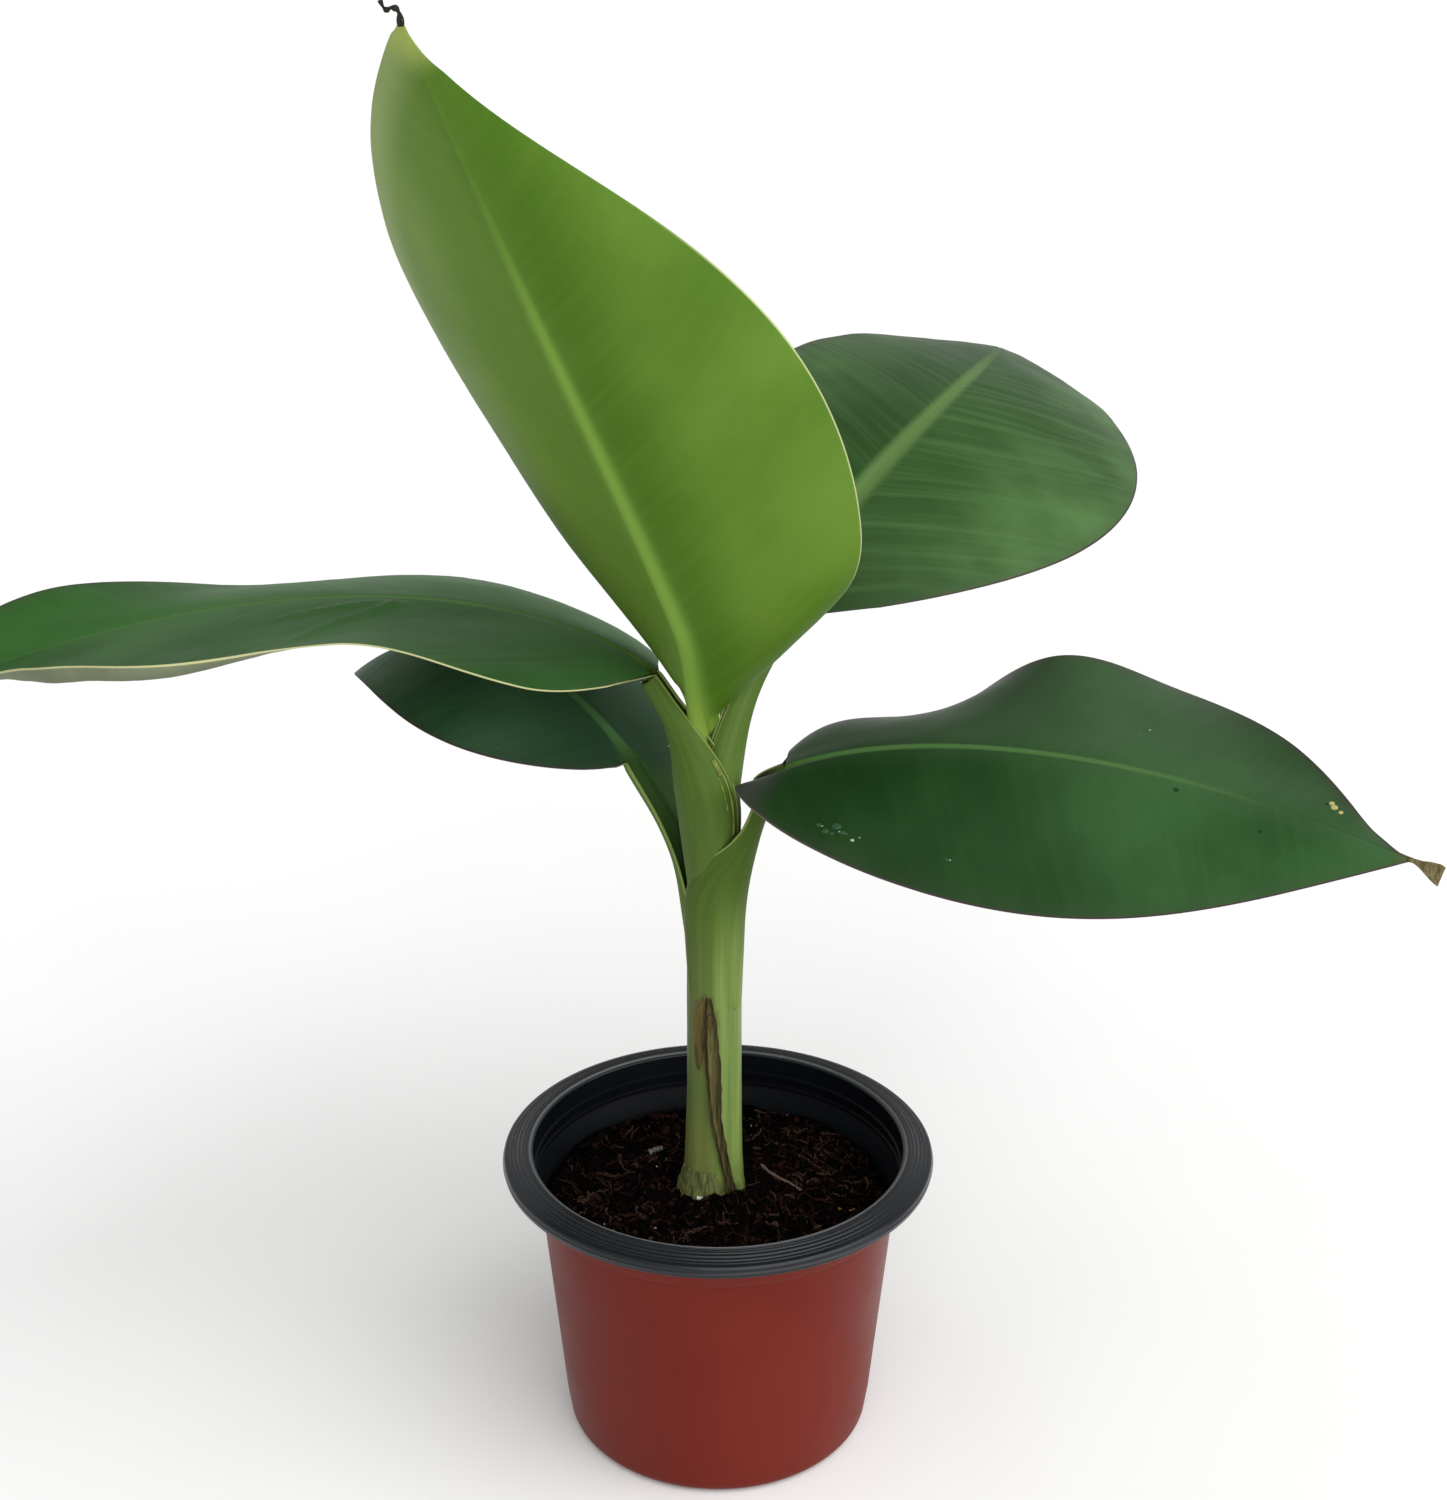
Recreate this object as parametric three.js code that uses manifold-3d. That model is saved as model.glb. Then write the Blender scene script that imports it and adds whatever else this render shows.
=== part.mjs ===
// A banana sapling in a nursery pot: pot, potting mix, pseudostem and five leaves.
// Millimetres, +Z up. The origin is the centre of the pot's flat underside, and -Y is the front.
import * as THREE from 'three';
import { mergeVertices } from 'three/addons/utils/BufferGeometryUtils.js';
import Module from 'manifold-3d';

// Clearance kept between neighbouring solids, and the distance within which corners are one
const GAP = 0.3;
const WELD = 1e-3;

// Pot: a thin-walled tapered body under a wider collar, with a turned-down rim round its mouth
const POT = {
  height: 100,
  wall: 1.2,
  floor: 1.6,
  baseRadius: 50.5,
  baseRounding: 4,
  roundingSteps: 4,
  shoulderRadius: 58.5,
  shoulderHeight: 84,
  collarRadius: 61.5,
  collarFoot: 86.5,
  mouthRadius: 60.5,
  rimRadius: 70.2,
  rimDrop: 5.2,
  rimCrown: 1.2,
  rimTopRadius: 64.3,
  facets: 56,
};

// Drain holes in the pot's floor, in a ring well off its centre
const DRAIN = { count: 6, radius: 4, ringRadius: 36, cutLength: 8, facets: 12 };

// Potting mix: fills the pot to a little below the collar's foot, with a flat seat round the stem
const MIX = { top: 80, crown: 1.5, edgeRounding: 2, seatRadius: 16.2 };

// Pseudostem: stations from the flat cut at soil level up to the fork, as height, radius, lean in X
// and depth from front to back as a share of the width
const STEM_STATIONS = [
  { height: MIX.top + MIX.crown + GAP, radius: 11.6, lean: -2.2, depth: 1.0 },
  { height: 92, radius: 9.4, lean: -1.5, depth: 1.0 },
  { height: 120, radius: 8.8, lean: -1.2, depth: 1.0 },
  { height: 155, radius: 8.7, lean: -1.2, depth: 1.0 },
  { height: 187, radius: 10.0, lean: -1.2, depth: 0.95 },
  { height: 215, radius: 10.2, lean: -2.4, depth: 0.9 },
  { height: 238, radius: 11.5, lean: -3.6, depth: 0.86 },
];
const STEM = { rings: 18, facets: 28 };

// Leaves: every leaf has a stalk, which rises from the stem, and a blade of two halves hung on a rib.
// Angles are in degrees. The rib's slope goes from rise, through crest at the blade's base, to droop.
const BLADE_THICKNESS = 2.6;
const RIB_DEPTH = 3;
const RIB_HALF_WIDTH = 5;
const TIP_HALF_WIDTH = 0.9;
const STALK_RADIUS = 3.8;
const STALK_FLATNESS = 0.85;
const RIB_TAPER = 0.75;
const LEAF_GRID = { across: 8, stalk: 5, blade: 22, substeps: 4, crowding: 1.4 };
const WAVE_POWER = 1.5;

const PLAIN_HALF = {
  width: 60,
  base: 0.6,
  tip: 0.9,
  fold: [0, 0],
  curl: [-10, -10],
  slant: 0,
  start: 0,
  wave: 0,
};

const LEAVES = {
  leaf_upright: {
    foot: [0.7, -3.9, 237],
    footRadius: 4.4,
    azimuth: 230,
    sweep: 23,
    rise: 79,
    crest: 75,
    droop: 48,
    bend: 0.35,
    roll: -3,
    twist: -1,
    stalk: 6,
    blade: 254,
    fullness: 0.55,
    tipSlant: 0.35,
    waves: 2,
    phase: 0,
    left: { width: 62, base: 0.55, tip: 1.35, fold: [35, 20], curl: [10, 10], slant: 0.2, start: 0.05 },
    right: { width: 65, base: 0.35, tip: 0.9, fold: [25, 20], curl: [0, 5], slant: 0.1, start: 0.08 },
  },
  leaf_back_right: {
    foot: [4, 4, 230],
    footRadius: 5.6,
    azimuth: 43,
    sweep: 44,
    rise: 58,
    crest: 73,
    droop: -12,
    bend: 0.4,
    roll: -18,
    twist: 3,
    stalk: 48,
    blade: 247,
    fullness: 0.75,
    tipSlant: 0.2,
    waves: 2,
    phase: 0,
    left: { width: 62, base: 0.65, tip: 1, fold: [0, -5], slant: 0.1 },
    right: { width: 71, base: 0.85, tip: 0.8, fold: [-10, -5], slant: 0.2 },
  },
  leaf_left: {
    foot: [-6.5, -2, 235],
    footRadius: 5.4,
    azimuth: 152,
    sweep: 56,
    rise: 74,
    crest: 48,
    droop: -17,
    bend: 0.3,
    roll: 6,
    twist: -9,
    stalk: 29,
    blade: 244,
    fullness: 0.57,
    tipSlant: 0.1,
    waves: 1.65,
    phase: -0.14,
    left: { width: 64, base: 0.4, tip: 0.7, fold: [5, 0], curl: [8, 8], slant: 0.05, wave: 3 },
    right: { width: 65, base: 0.4, tip: 0.6, fold: [-15, 14], curl: [-34, 7], slant: 0.25, wave: 6 },
  },
  leaf_right: {
    foot: [4, -2, 202],
    footRadius: 6,
    azimuth: -15,
    sweep: 0,
    rise: 93,
    crest: 52,
    droop: -20,
    bend: 0.35,
    roll: -36,
    twist: -34,
    stalk: 28,
    blade: 200,
    fullness: 0.85,
    tipSlant: 0.06,
    waves: 2.6,
    phase: -0.46,
    left: { width: 49, base: 0.4, tip: 1.6, fold: [-29, -13], curl: [-41, -29], slant: -0.14, wave: -13 },
    right: { width: 49, base: 0.7, tip: 0.95, fold: [5, 7], curl: [-15, -6], slant: -0.14 },
  },
  leaf_back_left: {
    foot: [-8, 3, 184.5],
    footRadius: 5.6,
    azimuth: 138,
    sweep: 7,
    rise: 79,
    crest: 40,
    droop: -39,
    bend: 1.05,
    roll: 5,
    twist: 10,
    stalk: 49,
    blade: 141,
    fullness: 0.8,
    tipSlant: 0.05,
    waves: 2,
    phase: 0,
    left: { width: 41, base: 0.8, tip: 0.85, fold: [-20, 0] },
    right: { width: 41, base: 0.6, tip: 0.95, fold: [-15, -10] },
  },
};

const FINISHES = {
  pot: { color: 0x9a3b2b, roughness: 0.55 },
  potting_mix: { color: 0x2a1d17, roughness: 0.95 },
  pseudostem: { color: 0x7d9a44, roughness: 0.5 },
  leaf_upright: { color: 0x6b9136, roughness: 0.5 },
  leaf_back_right: { color: 0x33633c, roughness: 0.4 },
  leaf_left: { color: 0x35633c, roughness: 0.4 },
  leaf_right: { color: 0x27542f, roughness: 0.35 },
  leaf_back_left: { color: 0x24482d, roughness: 0.4 },
};

const wasm = await Module();
wasm.setup();

const { clamp, degToRad, lerp } = THREE.MathUtils;

// Leaves only the shared corners of a geometry, so that its faces close
function weld(geometry) {
  geometry.deleteAttribute('normal');
  geometry.deleteAttribute('uv');
  return mergeVertices(geometry, WELD);
}

function toSolid(geometry) {
  const vertProperties = new Float32Array(geometry.attributes.position.array);
  const triVerts = new Uint32Array(geometry.index.array);
  return new wasm.Manifold(new wasm.Mesh({ numProp: 3, vertProperties, triVerts }));
}

function toGeometry(solid) {
  const mesh = solid.getMesh();
  const geometry = new THREE.BufferGeometry();
  geometry.setAttribute('position', new THREE.BufferAttribute(new Float32Array(mesh.vertProperties), 3));
  geometry.setIndex(new THREE.BufferAttribute(new Uint32Array(mesh.triVerts), 1));
  geometry.computeVertexNormals();
  return geometry;
}

// Turns a closed profile of (radius, height) points round the Z axis
function turned(profile, facets) {
  const geometry = new THREE.LatheGeometry(profile, facets);
  geometry.rotateX(Math.PI / 2);
  return weld(geometry);
}

// Points of a quarter round from one corner of the profile to the next
function quarterRound(centre, radius, from, to, steps) {
  return Array.from({ length: steps + 1 }, (_, i) => {
    const angle = degToRad(lerp(from, to, i / steps));
    return new THREE.Vector2(centre.x + radius * Math.cos(angle), centre.y + radius * Math.sin(angle));
  });
}

// The pot's inner wall radius at a height below the collar
function innerRadius(height) {
  const share = height / POT.shoulderHeight;
  return lerp(POT.baseRadius, POT.shoulderRadius, share) - POT.wall;
}

function potSolid() {
  const point = (radius, height) => new THREE.Vector2(radius, height);
  const corner = point(POT.baseRadius - POT.baseRounding, POT.baseRounding);
  const crownFoot = POT.height - POT.rimCrown;
  const profile = [
    point(0, 0),
    ...quarterRound(corner, POT.baseRounding, -90, 0, POT.roundingSteps),
    point(POT.shoulderRadius, POT.shoulderHeight),
    point(POT.collarRadius, POT.collarFoot),
    point(POT.collarRadius + POT.wall / 2, crownFoot - POT.wall),
    point(POT.rimRadius - POT.rimCrown - POT.wall, crownFoot - POT.wall),
    point(POT.rimRadius - POT.wall, POT.height - POT.rimDrop),
    point(POT.rimRadius, POT.height - POT.rimDrop),
    point(POT.rimRadius, crownFoot - POT.rimCrown),
    point(POT.rimRadius - POT.rimCrown, crownFoot),
    point(POT.rimTopRadius, POT.height),
    point(POT.mouthRadius, POT.height),
    point(POT.collarRadius - POT.wall, POT.collarFoot + POT.wall / 2),
    point(innerRadius(POT.shoulderHeight), POT.shoulderHeight),
    point(innerRadius(POT.baseRounding), POT.baseRounding),
    point(POT.baseRadius - POT.baseRounding, POT.floor),
    point(0, POT.floor),
  ];
  const drill = (index) => {
    const angle = ((index + 0.5) / DRAIN.count) * 2 * Math.PI;
    const hole = new THREE.CylinderGeometry(DRAIN.radius, DRAIN.radius, DRAIN.cutLength, DRAIN.facets);
    hole.rotateX(Math.PI / 2);
    hole.translate(DRAIN.ringRadius * Math.cos(angle), DRAIN.ringRadius * Math.sin(angle), 0);
    return toSolid(weld(hole));
  };
  const holes = Array.from({ length: DRAIN.count }, (_, index) => drill(index));
  return holes.reduce((body, hole) => body.subtract(hole), toSolid(turned(profile, POT.facets)));
}

function mixSolid() {
  const point = (radius, height) => new THREE.Vector2(radius, height);
  const edge = innerRadius(MIX.top) - GAP;
  const foot = POT.floor + GAP;
  const footRadius = POT.baseRadius - POT.baseRounding - GAP;
  const profile = [
    point(0, foot),
    point(footRadius, foot),
    point(innerRadius(POT.baseRounding) - GAP, POT.baseRounding + GAP),
    point(edge, MIX.top - MIX.edgeRounding),
    point(edge - MIX.edgeRounding, MIX.top),
    point(MIX.seatRadius, MIX.top + MIX.crown),
    point(0, MIX.top + MIX.crown),
  ];
  return toSolid(turned(profile, POT.facets));
}

// One of the stem's sizes at a height, by a smooth curve through its stations
function stemSize(key) {
  const points = STEM_STATIONS.map((station) => new THREE.Vector2(station.height, station[key]));
  const samples = new THREE.SplineCurve(points).getPoints(2 * STEM.rings);
  return (height) => {
    const level = clamp(height, samples[0].x, samples.at(-1).x);
    const next = Math.max(1, samples.findIndex((sample) => sample.x >= level));
    const [below, above] = [samples[next - 1], samples[next]];
    return lerp(below.y, above.y, (level - below.x) / (above.x - below.x));
  };
}

// The stem, or with grow above zero the space that leaf stalks keep out of
function stemSolid(grow) {
  const radius = stemSize('radius');
  const lean = stemSize('lean');
  const depth = stemSize('depth');
  const bottom = STEM_STATIONS[0].height - grow;
  const top = STEM_STATIONS.at(-1).height + grow;
  const rings = Array.from({ length: STEM.rings + 1 }, (_, i) => lerp(bottom, top, i / STEM.rings));
  const profile = [
    new THREE.Vector2(0, bottom),
    ...rings.map((height) => new THREE.Vector2(radius(height) + grow, height)),
    new THREE.Vector2(0, top),
  ];
  const geometry = turned(profile, STEM.facets);
  const place = geometry.attributes.position;
  for (let i = 0; i < place.count; i += 1) {
    const height = place.getZ(i);
    place.setX(i, place.getX(i) + lean(height));
    place.setY(i, place.getY(i) * depth(height));
  }
  return toSolid(geometry);
}

// Along, across and upper-side directions of a leaf whose rib climbs at a slope and points to an azimuth
function ribFrame(slope, azimuth, roll) {
  const [e, a, r] = [degToRad(slope), degToRad(azimuth), degToRad(roll)];
  const along = new THREE.Vector3(Math.cos(e) * Math.cos(a), Math.cos(e) * Math.sin(a), Math.sin(e));
  const level = new THREE.Vector3(Math.sin(a), -Math.cos(a), 0);
  const upper = level.clone().cross(along);
  const across = level.clone().multiplyScalar(Math.cos(r)).addScaledVector(upper, Math.sin(r));
  const normal = upper.multiplyScalar(Math.cos(r)).addScaledVector(level, -Math.sin(r));
  return { along, across, normal };
}

// Stations along a leaf: each has its place, its frame and its share of the stalk and of the blade
function leafStations(leaf) {
  const { substeps } = LEAF_GRID;
  const stations = [];
  const place = new THREE.Vector3(...leaf.foot);
  const slopeOnStalk = (t) => lerp(leaf.rise, leaf.crest, t);
  const slopeOnBlade = (s) => lerp(leaf.crest, leaf.droop, s ** leaf.bend);
  const turn = (s) => leaf.azimuth + leaf.sweep * s;
  const walk = (count, length, frameAt, record) => {
    for (let i = 0; i <= count; i += 1) {
      record(i / count);
      for (let k = 0; k < substeps && i < count; k += 1) {
        const share = (i + (k + 0.5) / substeps) / count;
        place.addScaledVector(frameAt(share).along, length / count / substeps);
      }
    }
  };
  const stalkFrame = (t) => ribFrame(slopeOnStalk(t), leaf.azimuth, leaf.roll * t);
  const bladeFrame = (s) => ribFrame(slopeOnBlade(s), turn(s), leaf.roll + leaf.twist * s);
  walk(LEAF_GRID.stalk, leaf.stalk, stalkFrame, (t) => {
    if (t < 1) stations.push({ place: place.clone(), frame: stalkFrame(t), stalk: t, blade: 0 });
  });
  walk(LEAF_GRID.blade, leaf.blade, bladeFrame, (s) => {
    stations.push({ place: place.clone(), frame: bladeFrame(s), stalk: 1, blade: s });
  });
  return stations;
}

// Half width of one half of a blade: full in the middle, with its own roundness at base and tip
function halfWidth(half, fullness, s) {
  const share = clamp((s - half.start) / (1 - half.start), 0, 1);
  const swell = Math.max(0, Math.sin(Math.PI * share ** fullness));
  return half.width * swell ** lerp(half.base, half.tip, share);
}

// A point on a leaf's skin: side +1 is the upper face and -1 the lower, across runs from -1 to 1
function leafPoint(leaf, station, across, side, grow) {
  const half = { ...PLAIN_HALF, ...(across < 0 ? leaf.left : leaf.right) };
  const s = station.blade;
  const { along, across: outward, normal } = station.frame;
  const stalk = lerp(leaf.footRadius, STALK_RADIUS, station.stalk) * (1 - RIB_TAPER * s);
  const blade = station.stalk < 1 ? 0 : halfWidth(half, leaf.fullness, s);
  const reach = Math.max(blade, stalk, TIP_HALF_WIDTH) + grow;
  const open = clamp((blade - stalk) / stalk, 0, 1);
  const sign = Math.sign(across);
  const v = Math.abs(across) ** lerp(1, LEAF_GRID.crowding, open);
  const distance = v * reach;
  const fold = lerp(...half.fold, s);
  const curl = lerp(...half.curl, s);
  const lift = degToRad(fold + (curl * v) / 2) * open;
  const slope = degToRad(fold + curl * v) * open;
  const calm = Math.sqrt(Math.max(0, Math.sin(Math.PI * s)));
  const ripple = Math.sin(2 * Math.PI * (leaf.waves * s + leaf.phase)) * calm;
  const wave = half.wave * ripple * v ** WAVE_POWER * open;
  const slant = lerp(half.slant, leaf.tipSlant, s) * open;
  const round = stalk * Math.sqrt(1 - STALK_FLATNESS * v * v);
  const rib = side < 0 ? RIB_DEPTH * (1 - s) * Math.max(0, 1 - distance / RIB_HALF_WIDTH) : 0;
  const thick = lerp(round, BLADE_THICKNESS / 2 + rib, open) + grow;
  const skin = normal.clone()
    .multiplyScalar(Math.cos(slope))
    .addScaledVector(outward, -sign * Math.sin(slope));
  return station.place.clone()
    .addScaledVector(outward, sign * distance * Math.cos(lift))
    .addScaledVector(normal, distance * Math.sin(lift) + wave)
    .addScaledVector(along, distance * slant)
    .addScaledVector(skin, side * thick);
}

// A leaf as a box drawn out along its stations, or with grow above zero the space that others keep out of
function leafSolid(leaf, grow) {
  const stations = leafStations(leaf);
  const steps = stations.length - 1;
  const geometry = weld(new THREE.BoxGeometry(2, 1, 2, LEAF_GRID.across, steps, 1));
  const place = geometry.attributes.position;
  for (let i = 0; i < place.count; i += 1) {
    const station = stations[Math.round((place.getY(i) + 0.5) * steps)];
    const point = leafPoint(leaf, station, place.getX(i), place.getZ(i), grow);
    place.setXYZ(i, point.x, point.y, point.z);
  }
  return toSolid(geometry);
}

function mesh(name, solid) {
  const piece = new THREE.Mesh(toGeometry(solid), new THREE.MeshStandardMaterial(FINISHES[name]));
  piece.name = name;
  return piece;
}

const sapling = new THREE.Group();
sapling.add(mesh('pot', potSolid()));
sapling.add(mesh('potting_mix', mixSolid()));
sapling.add(mesh('pseudostem', stemSolid(0)));

// From the youngest leaf out, each is cut clear of the stem and of the leaves that it wraps
let taken = stemSolid(GAP);
for (const [name, leaf] of Object.entries(LEAVES)) {
  sapling.add(mesh(name, leafSolid(leaf, 0).subtract(taken)));
  taken = taken.add(leafSolid(leaf, GAP));
}

export default sapling;
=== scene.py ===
"""The looks of a banana sapling in a nursery pot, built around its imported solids. Metres, +Z up."""

import logging
import math
from dataclasses import dataclass, field, replace
from enum import Enum

import bmesh
import bpy
import numpy as np
from mathutils import Euler, Matrix, Vector, noise


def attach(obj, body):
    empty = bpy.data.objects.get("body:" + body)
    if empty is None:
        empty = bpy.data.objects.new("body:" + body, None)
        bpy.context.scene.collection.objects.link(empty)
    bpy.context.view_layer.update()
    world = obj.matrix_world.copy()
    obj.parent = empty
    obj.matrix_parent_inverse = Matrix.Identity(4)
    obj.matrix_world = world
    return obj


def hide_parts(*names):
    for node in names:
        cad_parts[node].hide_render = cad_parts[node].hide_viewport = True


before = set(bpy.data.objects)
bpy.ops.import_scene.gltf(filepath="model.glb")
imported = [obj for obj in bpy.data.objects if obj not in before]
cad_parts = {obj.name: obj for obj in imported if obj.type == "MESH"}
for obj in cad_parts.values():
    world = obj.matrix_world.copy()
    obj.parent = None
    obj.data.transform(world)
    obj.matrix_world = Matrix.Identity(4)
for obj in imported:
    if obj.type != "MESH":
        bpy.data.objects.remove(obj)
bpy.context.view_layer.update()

LOG = logging.getLogger("sapling")
BODY = "root"
MM = 0.001
PER_MM = 1000.0
WELD = 1e-6
UNIT_WELD = 1e-4
UP = np.array([0.0, 0.0, 1.0])
TUBE_ASIDE = np.array([0.31, 0.87, 0.38])

Colour = tuple[float, float, float]
Point = tuple[float, float, float]
Socket = bpy.types.NodeSocket
Material = bpy.types.Material
Piece = bpy.types.Object
Shape = bmesh.types.BMesh
Array = np.ndarray


class Side(Enum):
    """The two faces of a leaf."""

    UPPER = 0
    LOWER = 1


class Half(Enum):
    """The two halves of a blade, as seen along the leaf from its base with the upper face up."""

    LEFT = -1
    RIGHT = 1


class PotFace(Enum):
    """Parts of the pot that have finishes of their own."""

    OUTSIDE = 0
    RIM = 1
    INSIDE = 2
    # The pale band along the mouth is a painted highlight
    LIP_HIGHLIGHT = 3


class Slot(Enum):
    """Material slots of the record."""

    POT = "pot_plastic"
    MIX = "potting_mix"
    STEM = "stem"
    YOUNG = "young_leaf"
    MATURE = "mature_leaf"


def mm(*numbers: float) -> tuple[float, ...]:
    """Lengths in metres, from millimetres."""
    return tuple(number * MM for number in numbers)


def smooth(value: Array, low: float, high: float) -> Array:
    """Ease from 0 at low to 1 at high."""
    share = np.clip((np.asarray(value, float) - low) / (high - low), 0.0, 1.0)
    return share * share * (3.0 - 2.0 * share)


def blend(low: Array, high: Array, share: Array) -> Array:
    """Go from low to high by a share."""
    return low + (high - low) * share


def unit(vectors: Array) -> Array:
    """Scale vectors to length one."""
    length = np.linalg.norm(vectors, axis=-1, keepdims=True)
    return vectors / np.maximum(length, 1e-12)


def evened(values: Array, low: int, high: int) -> Array:
    """Rows from low to high, each evened out with its two neighbours."""
    return (values[low - 1:high - 1] + 2 * values[low:high] + values[low + 1:high + 1]) / 4


def grain(points: Array, scale: float, seed: float) -> Array:
    """Smooth noise at points.

    Args:
        points: Places, with three numbers in the last axis.
        scale: Waves for each unit of length.
        seed: Shift that picks one pattern.

    Returns:
        A number from about -1 to 1 for each place.
    """
    shift = Vector((seed, 2.0 * seed, -seed))
    flat = points.reshape(-1, 3)
    values = [noise.noise(Vector(place) * scale + shift) for place in flat]
    return np.array(values).reshape(points.shape[:-1])


class Graph:
    """The node tree of one material, with short calls for the nodes that the finishes use."""

    def __init__(self, name: str) -> None:
        """Start a material whose tree holds one shader.

        Args:
            name: Name of the material.
        """
        self.material = bpy.data.materials.new(name)
        self.material.use_nodes = True
        self.tree = self.material.node_tree
        self.tree.nodes.clear()
        output = self.tree.nodes.new("ShaderNodeOutputMaterial")
        self.shader = self.tree.nodes.new("ShaderNodeBsdfPrincipled")
        self.tree.links.new(self.shader.outputs[0], output.inputs["Surface"])

    def feed(self, socket: Socket, value: object) -> None:
        """Link a socket to another, or set its number or colour.

        Args:
            socket: Input to feed.
            value: Output socket, number or colour.
        """
        if isinstance(value, Socket):
            self.tree.links.new(value, socket)
        elif isinstance(value, tuple) and socket.type == "RGBA":
            socket.default_value = (*value, 1.0)
        else:
            socket.default_value = value

    def node(self, kind: str, feeds: dict, **settings: object) -> bpy.types.Node:
        """Add a node.

        Args:
            kind: Node type without its prefix.
            feeds: Values by input name or number.
            settings: The node's own settings.

        Returns:
            The new node.
        """
        made = self.tree.nodes.new("ShaderNode" + kind)
        for key, value in settings.items():
            setattr(made, key, value)
        for key, value in feeds.items():
            self.feed(made.inputs[key], value)
        return made

    def attribute(self, name: str) -> tuple[Socket, Socket, Socket]:
        """Read the three numbers of a mesh attribute."""
        return self.split(self.node("Attribute", {}, attribute_name=name).outputs["Vector"])

    def split(self, vector: Socket) -> tuple[Socket, Socket, Socket]:
        """Split a vector into its three numbers."""
        parts = self.node("SeparateXYZ", {0: vector}).outputs
        return parts[0], parts[1], parts[2]

    def join(self, x: object, y: object, z: object) -> Socket:
        """Join three numbers into a vector."""
        return self.node("CombineXYZ", {0: x, 1: y, 2: z}).outputs[0]

    def math(self, operation: str, a: object, b: object = 0.0) -> Socket:
        """Combine two numbers by an operation."""
        return self.node("Math", {0: a, 1: b}, operation=operation).outputs[0]

    def times(self, a: object, b: object) -> Socket:
        """Multiply two numbers."""
        return self.math("MULTIPLY", a, b)

    def span(self, value: Socket, low: float, high: float) -> Socket:
        """Go from low to high while a number goes from 0 to 1."""
        return self.node("MapRange", {"Value": value, "To Min": low, "To Max": high}).outputs[0]

    def band(self, value: Socket, low: float, high: float) -> Socket:
        """Ease from 0 at low to 1 at high."""
        feeds = {"Value": value, "From Min": low, "From Max": high}
        return self.node("MapRange", feeds, interpolation_type="SMOOTHSTEP").outputs[0]

    def place(self, stretch: Point = (1.0, 1.0, 1.0)) -> Socket:
        """Object coordinates, scaled along each axis."""
        source = self.node("TexCoord", {}).outputs["Object"]
        return self.node("Mapping", {"Vector": source, "Scale": stretch}).outputs[0]

    def noise(self, scale: float, detail: float = 3.0, vector: Socket | None = None) -> Socket:
        """Cloudy noise about a half, at a vector or at the object's own coordinates."""
        feeds = {"Vector": vector or self.place(), "Scale": scale, "Detail": detail}
        return self.node("TexNoise", feeds).outputs[0]

    def stripes(self, value: Socket, length: float) -> Socket:
        """Even stripes from 0 to 1 along a number, one for each length."""
        wave = self.math("SINE", self.times(value, math.tau / length))
        return self.node("MapRange", {"Value": wave, "From Min": -1.0, "From Max": 1.0}).outputs[0]

    def fall(self, value: Socket, low: float, high: float) -> Socket:
        """Ease from 1 at low to 0 at high."""
        return self.math("SUBTRACT", 1.0, self.band(value, low, high))

    def mix(self, share: object, a: object, b: object) -> Socket:
        """Mix two colours by the share of the second."""
        return self.node("Mix", {0: share, 6: a, 7: b}, data_type="RGBA").outputs[2]

    def bump(self, height: Socket, distance: float, strength: float = 1.0,
             under: Socket | None = None) -> Socket:
        """Tilt the normal by a height.

        Args:
            height: Height from 0 to 1.
            distance: Size of a height of 1.
            strength: Share of the tilt that shows.
            under: Normal to start from.

        Returns:
            The new normal.
        """
        feeds = {"Height": height, "Distance": distance, "Strength": strength}
        if under is not None:
            feeds["Normal"] = under
        return self.node("Bump", feeds).outputs[0]

    def finish(self, colour: Socket, roughness: object, specular: float,
               relief: Socket | None = None) -> Material:
        """Feed the shader and hand over the material.

        Args:
            colour: Base colour.
            roughness: Roughness, as a number or a socket.
            specular: Level of the mirror-like part.
            relief: Tilted normal, if the skin has a relief.

        Returns:
            The material.
        """
        feeds = {"Base Color": colour, "Roughness": roughness, "Specular IOR Level": specular}
        if relief is not None:
            feeds["Normal"] = relief
        for key, value in feeds.items():
            self.feed(self.shader.inputs[key], value)
        return self.material


def add_piece(name: str, shape: Shape, finishes: list, nodes: tuple = ()) -> Piece:
    """Make a piece of the plant or pot from a finished shape.

    Args:
        name: Name of the piece.
        shape: Its mesh, which is freed.
        finishes: Its materials, in the order of its faces' numbers.
        nodes: Solids that it stands for.

    Returns:
        The new object, which sits at the origin.
    """
    mesh = bpy.data.meshes.new(name)
    shape.to_mesh(mesh)
    shape.free()
    mesh.shade_smooth()
    return place_piece(name, mesh, finishes, nodes)


def place_piece(name: str, mesh: bpy.types.Mesh, finishes: list, nodes: tuple = ()) -> Piece:
    """Put a finished mesh in the scene.

    Args:
        name: Name of the piece.
        mesh: Its mesh.
        finishes: Its materials.
        nodes: Solids that it stands for.

    Returns:
        The new object, which sits at the origin.
    """
    for finish in finishes:
        mesh.materials.append(finish)
    piece = bpy.data.objects.new(name, mesh)
    bpy.context.scene.collection.objects.link(piece)
    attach(piece, BODY)
    if nodes:
        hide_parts(*nodes)
    LOG.info("%s: %d faces", name, len(mesh.polygons))
    return piece


def corners(shape: Shape) -> Array:
    """Places of all vertices."""
    return np.array([vertex.co[:] for vertex in shape.verts])


def face_out(shape: Shape) -> None:
    """Turn all faces outwards."""
    bmesh.ops.recalc_face_normals(shape, faces=shape.faces[:])


def weld(shape: Shape, gap: float = WELD) -> None:
    """Merge the vertices that meet."""
    bmesh.ops.remove_doubles(shape, verts=shape.verts[:], dist=gap)


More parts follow.
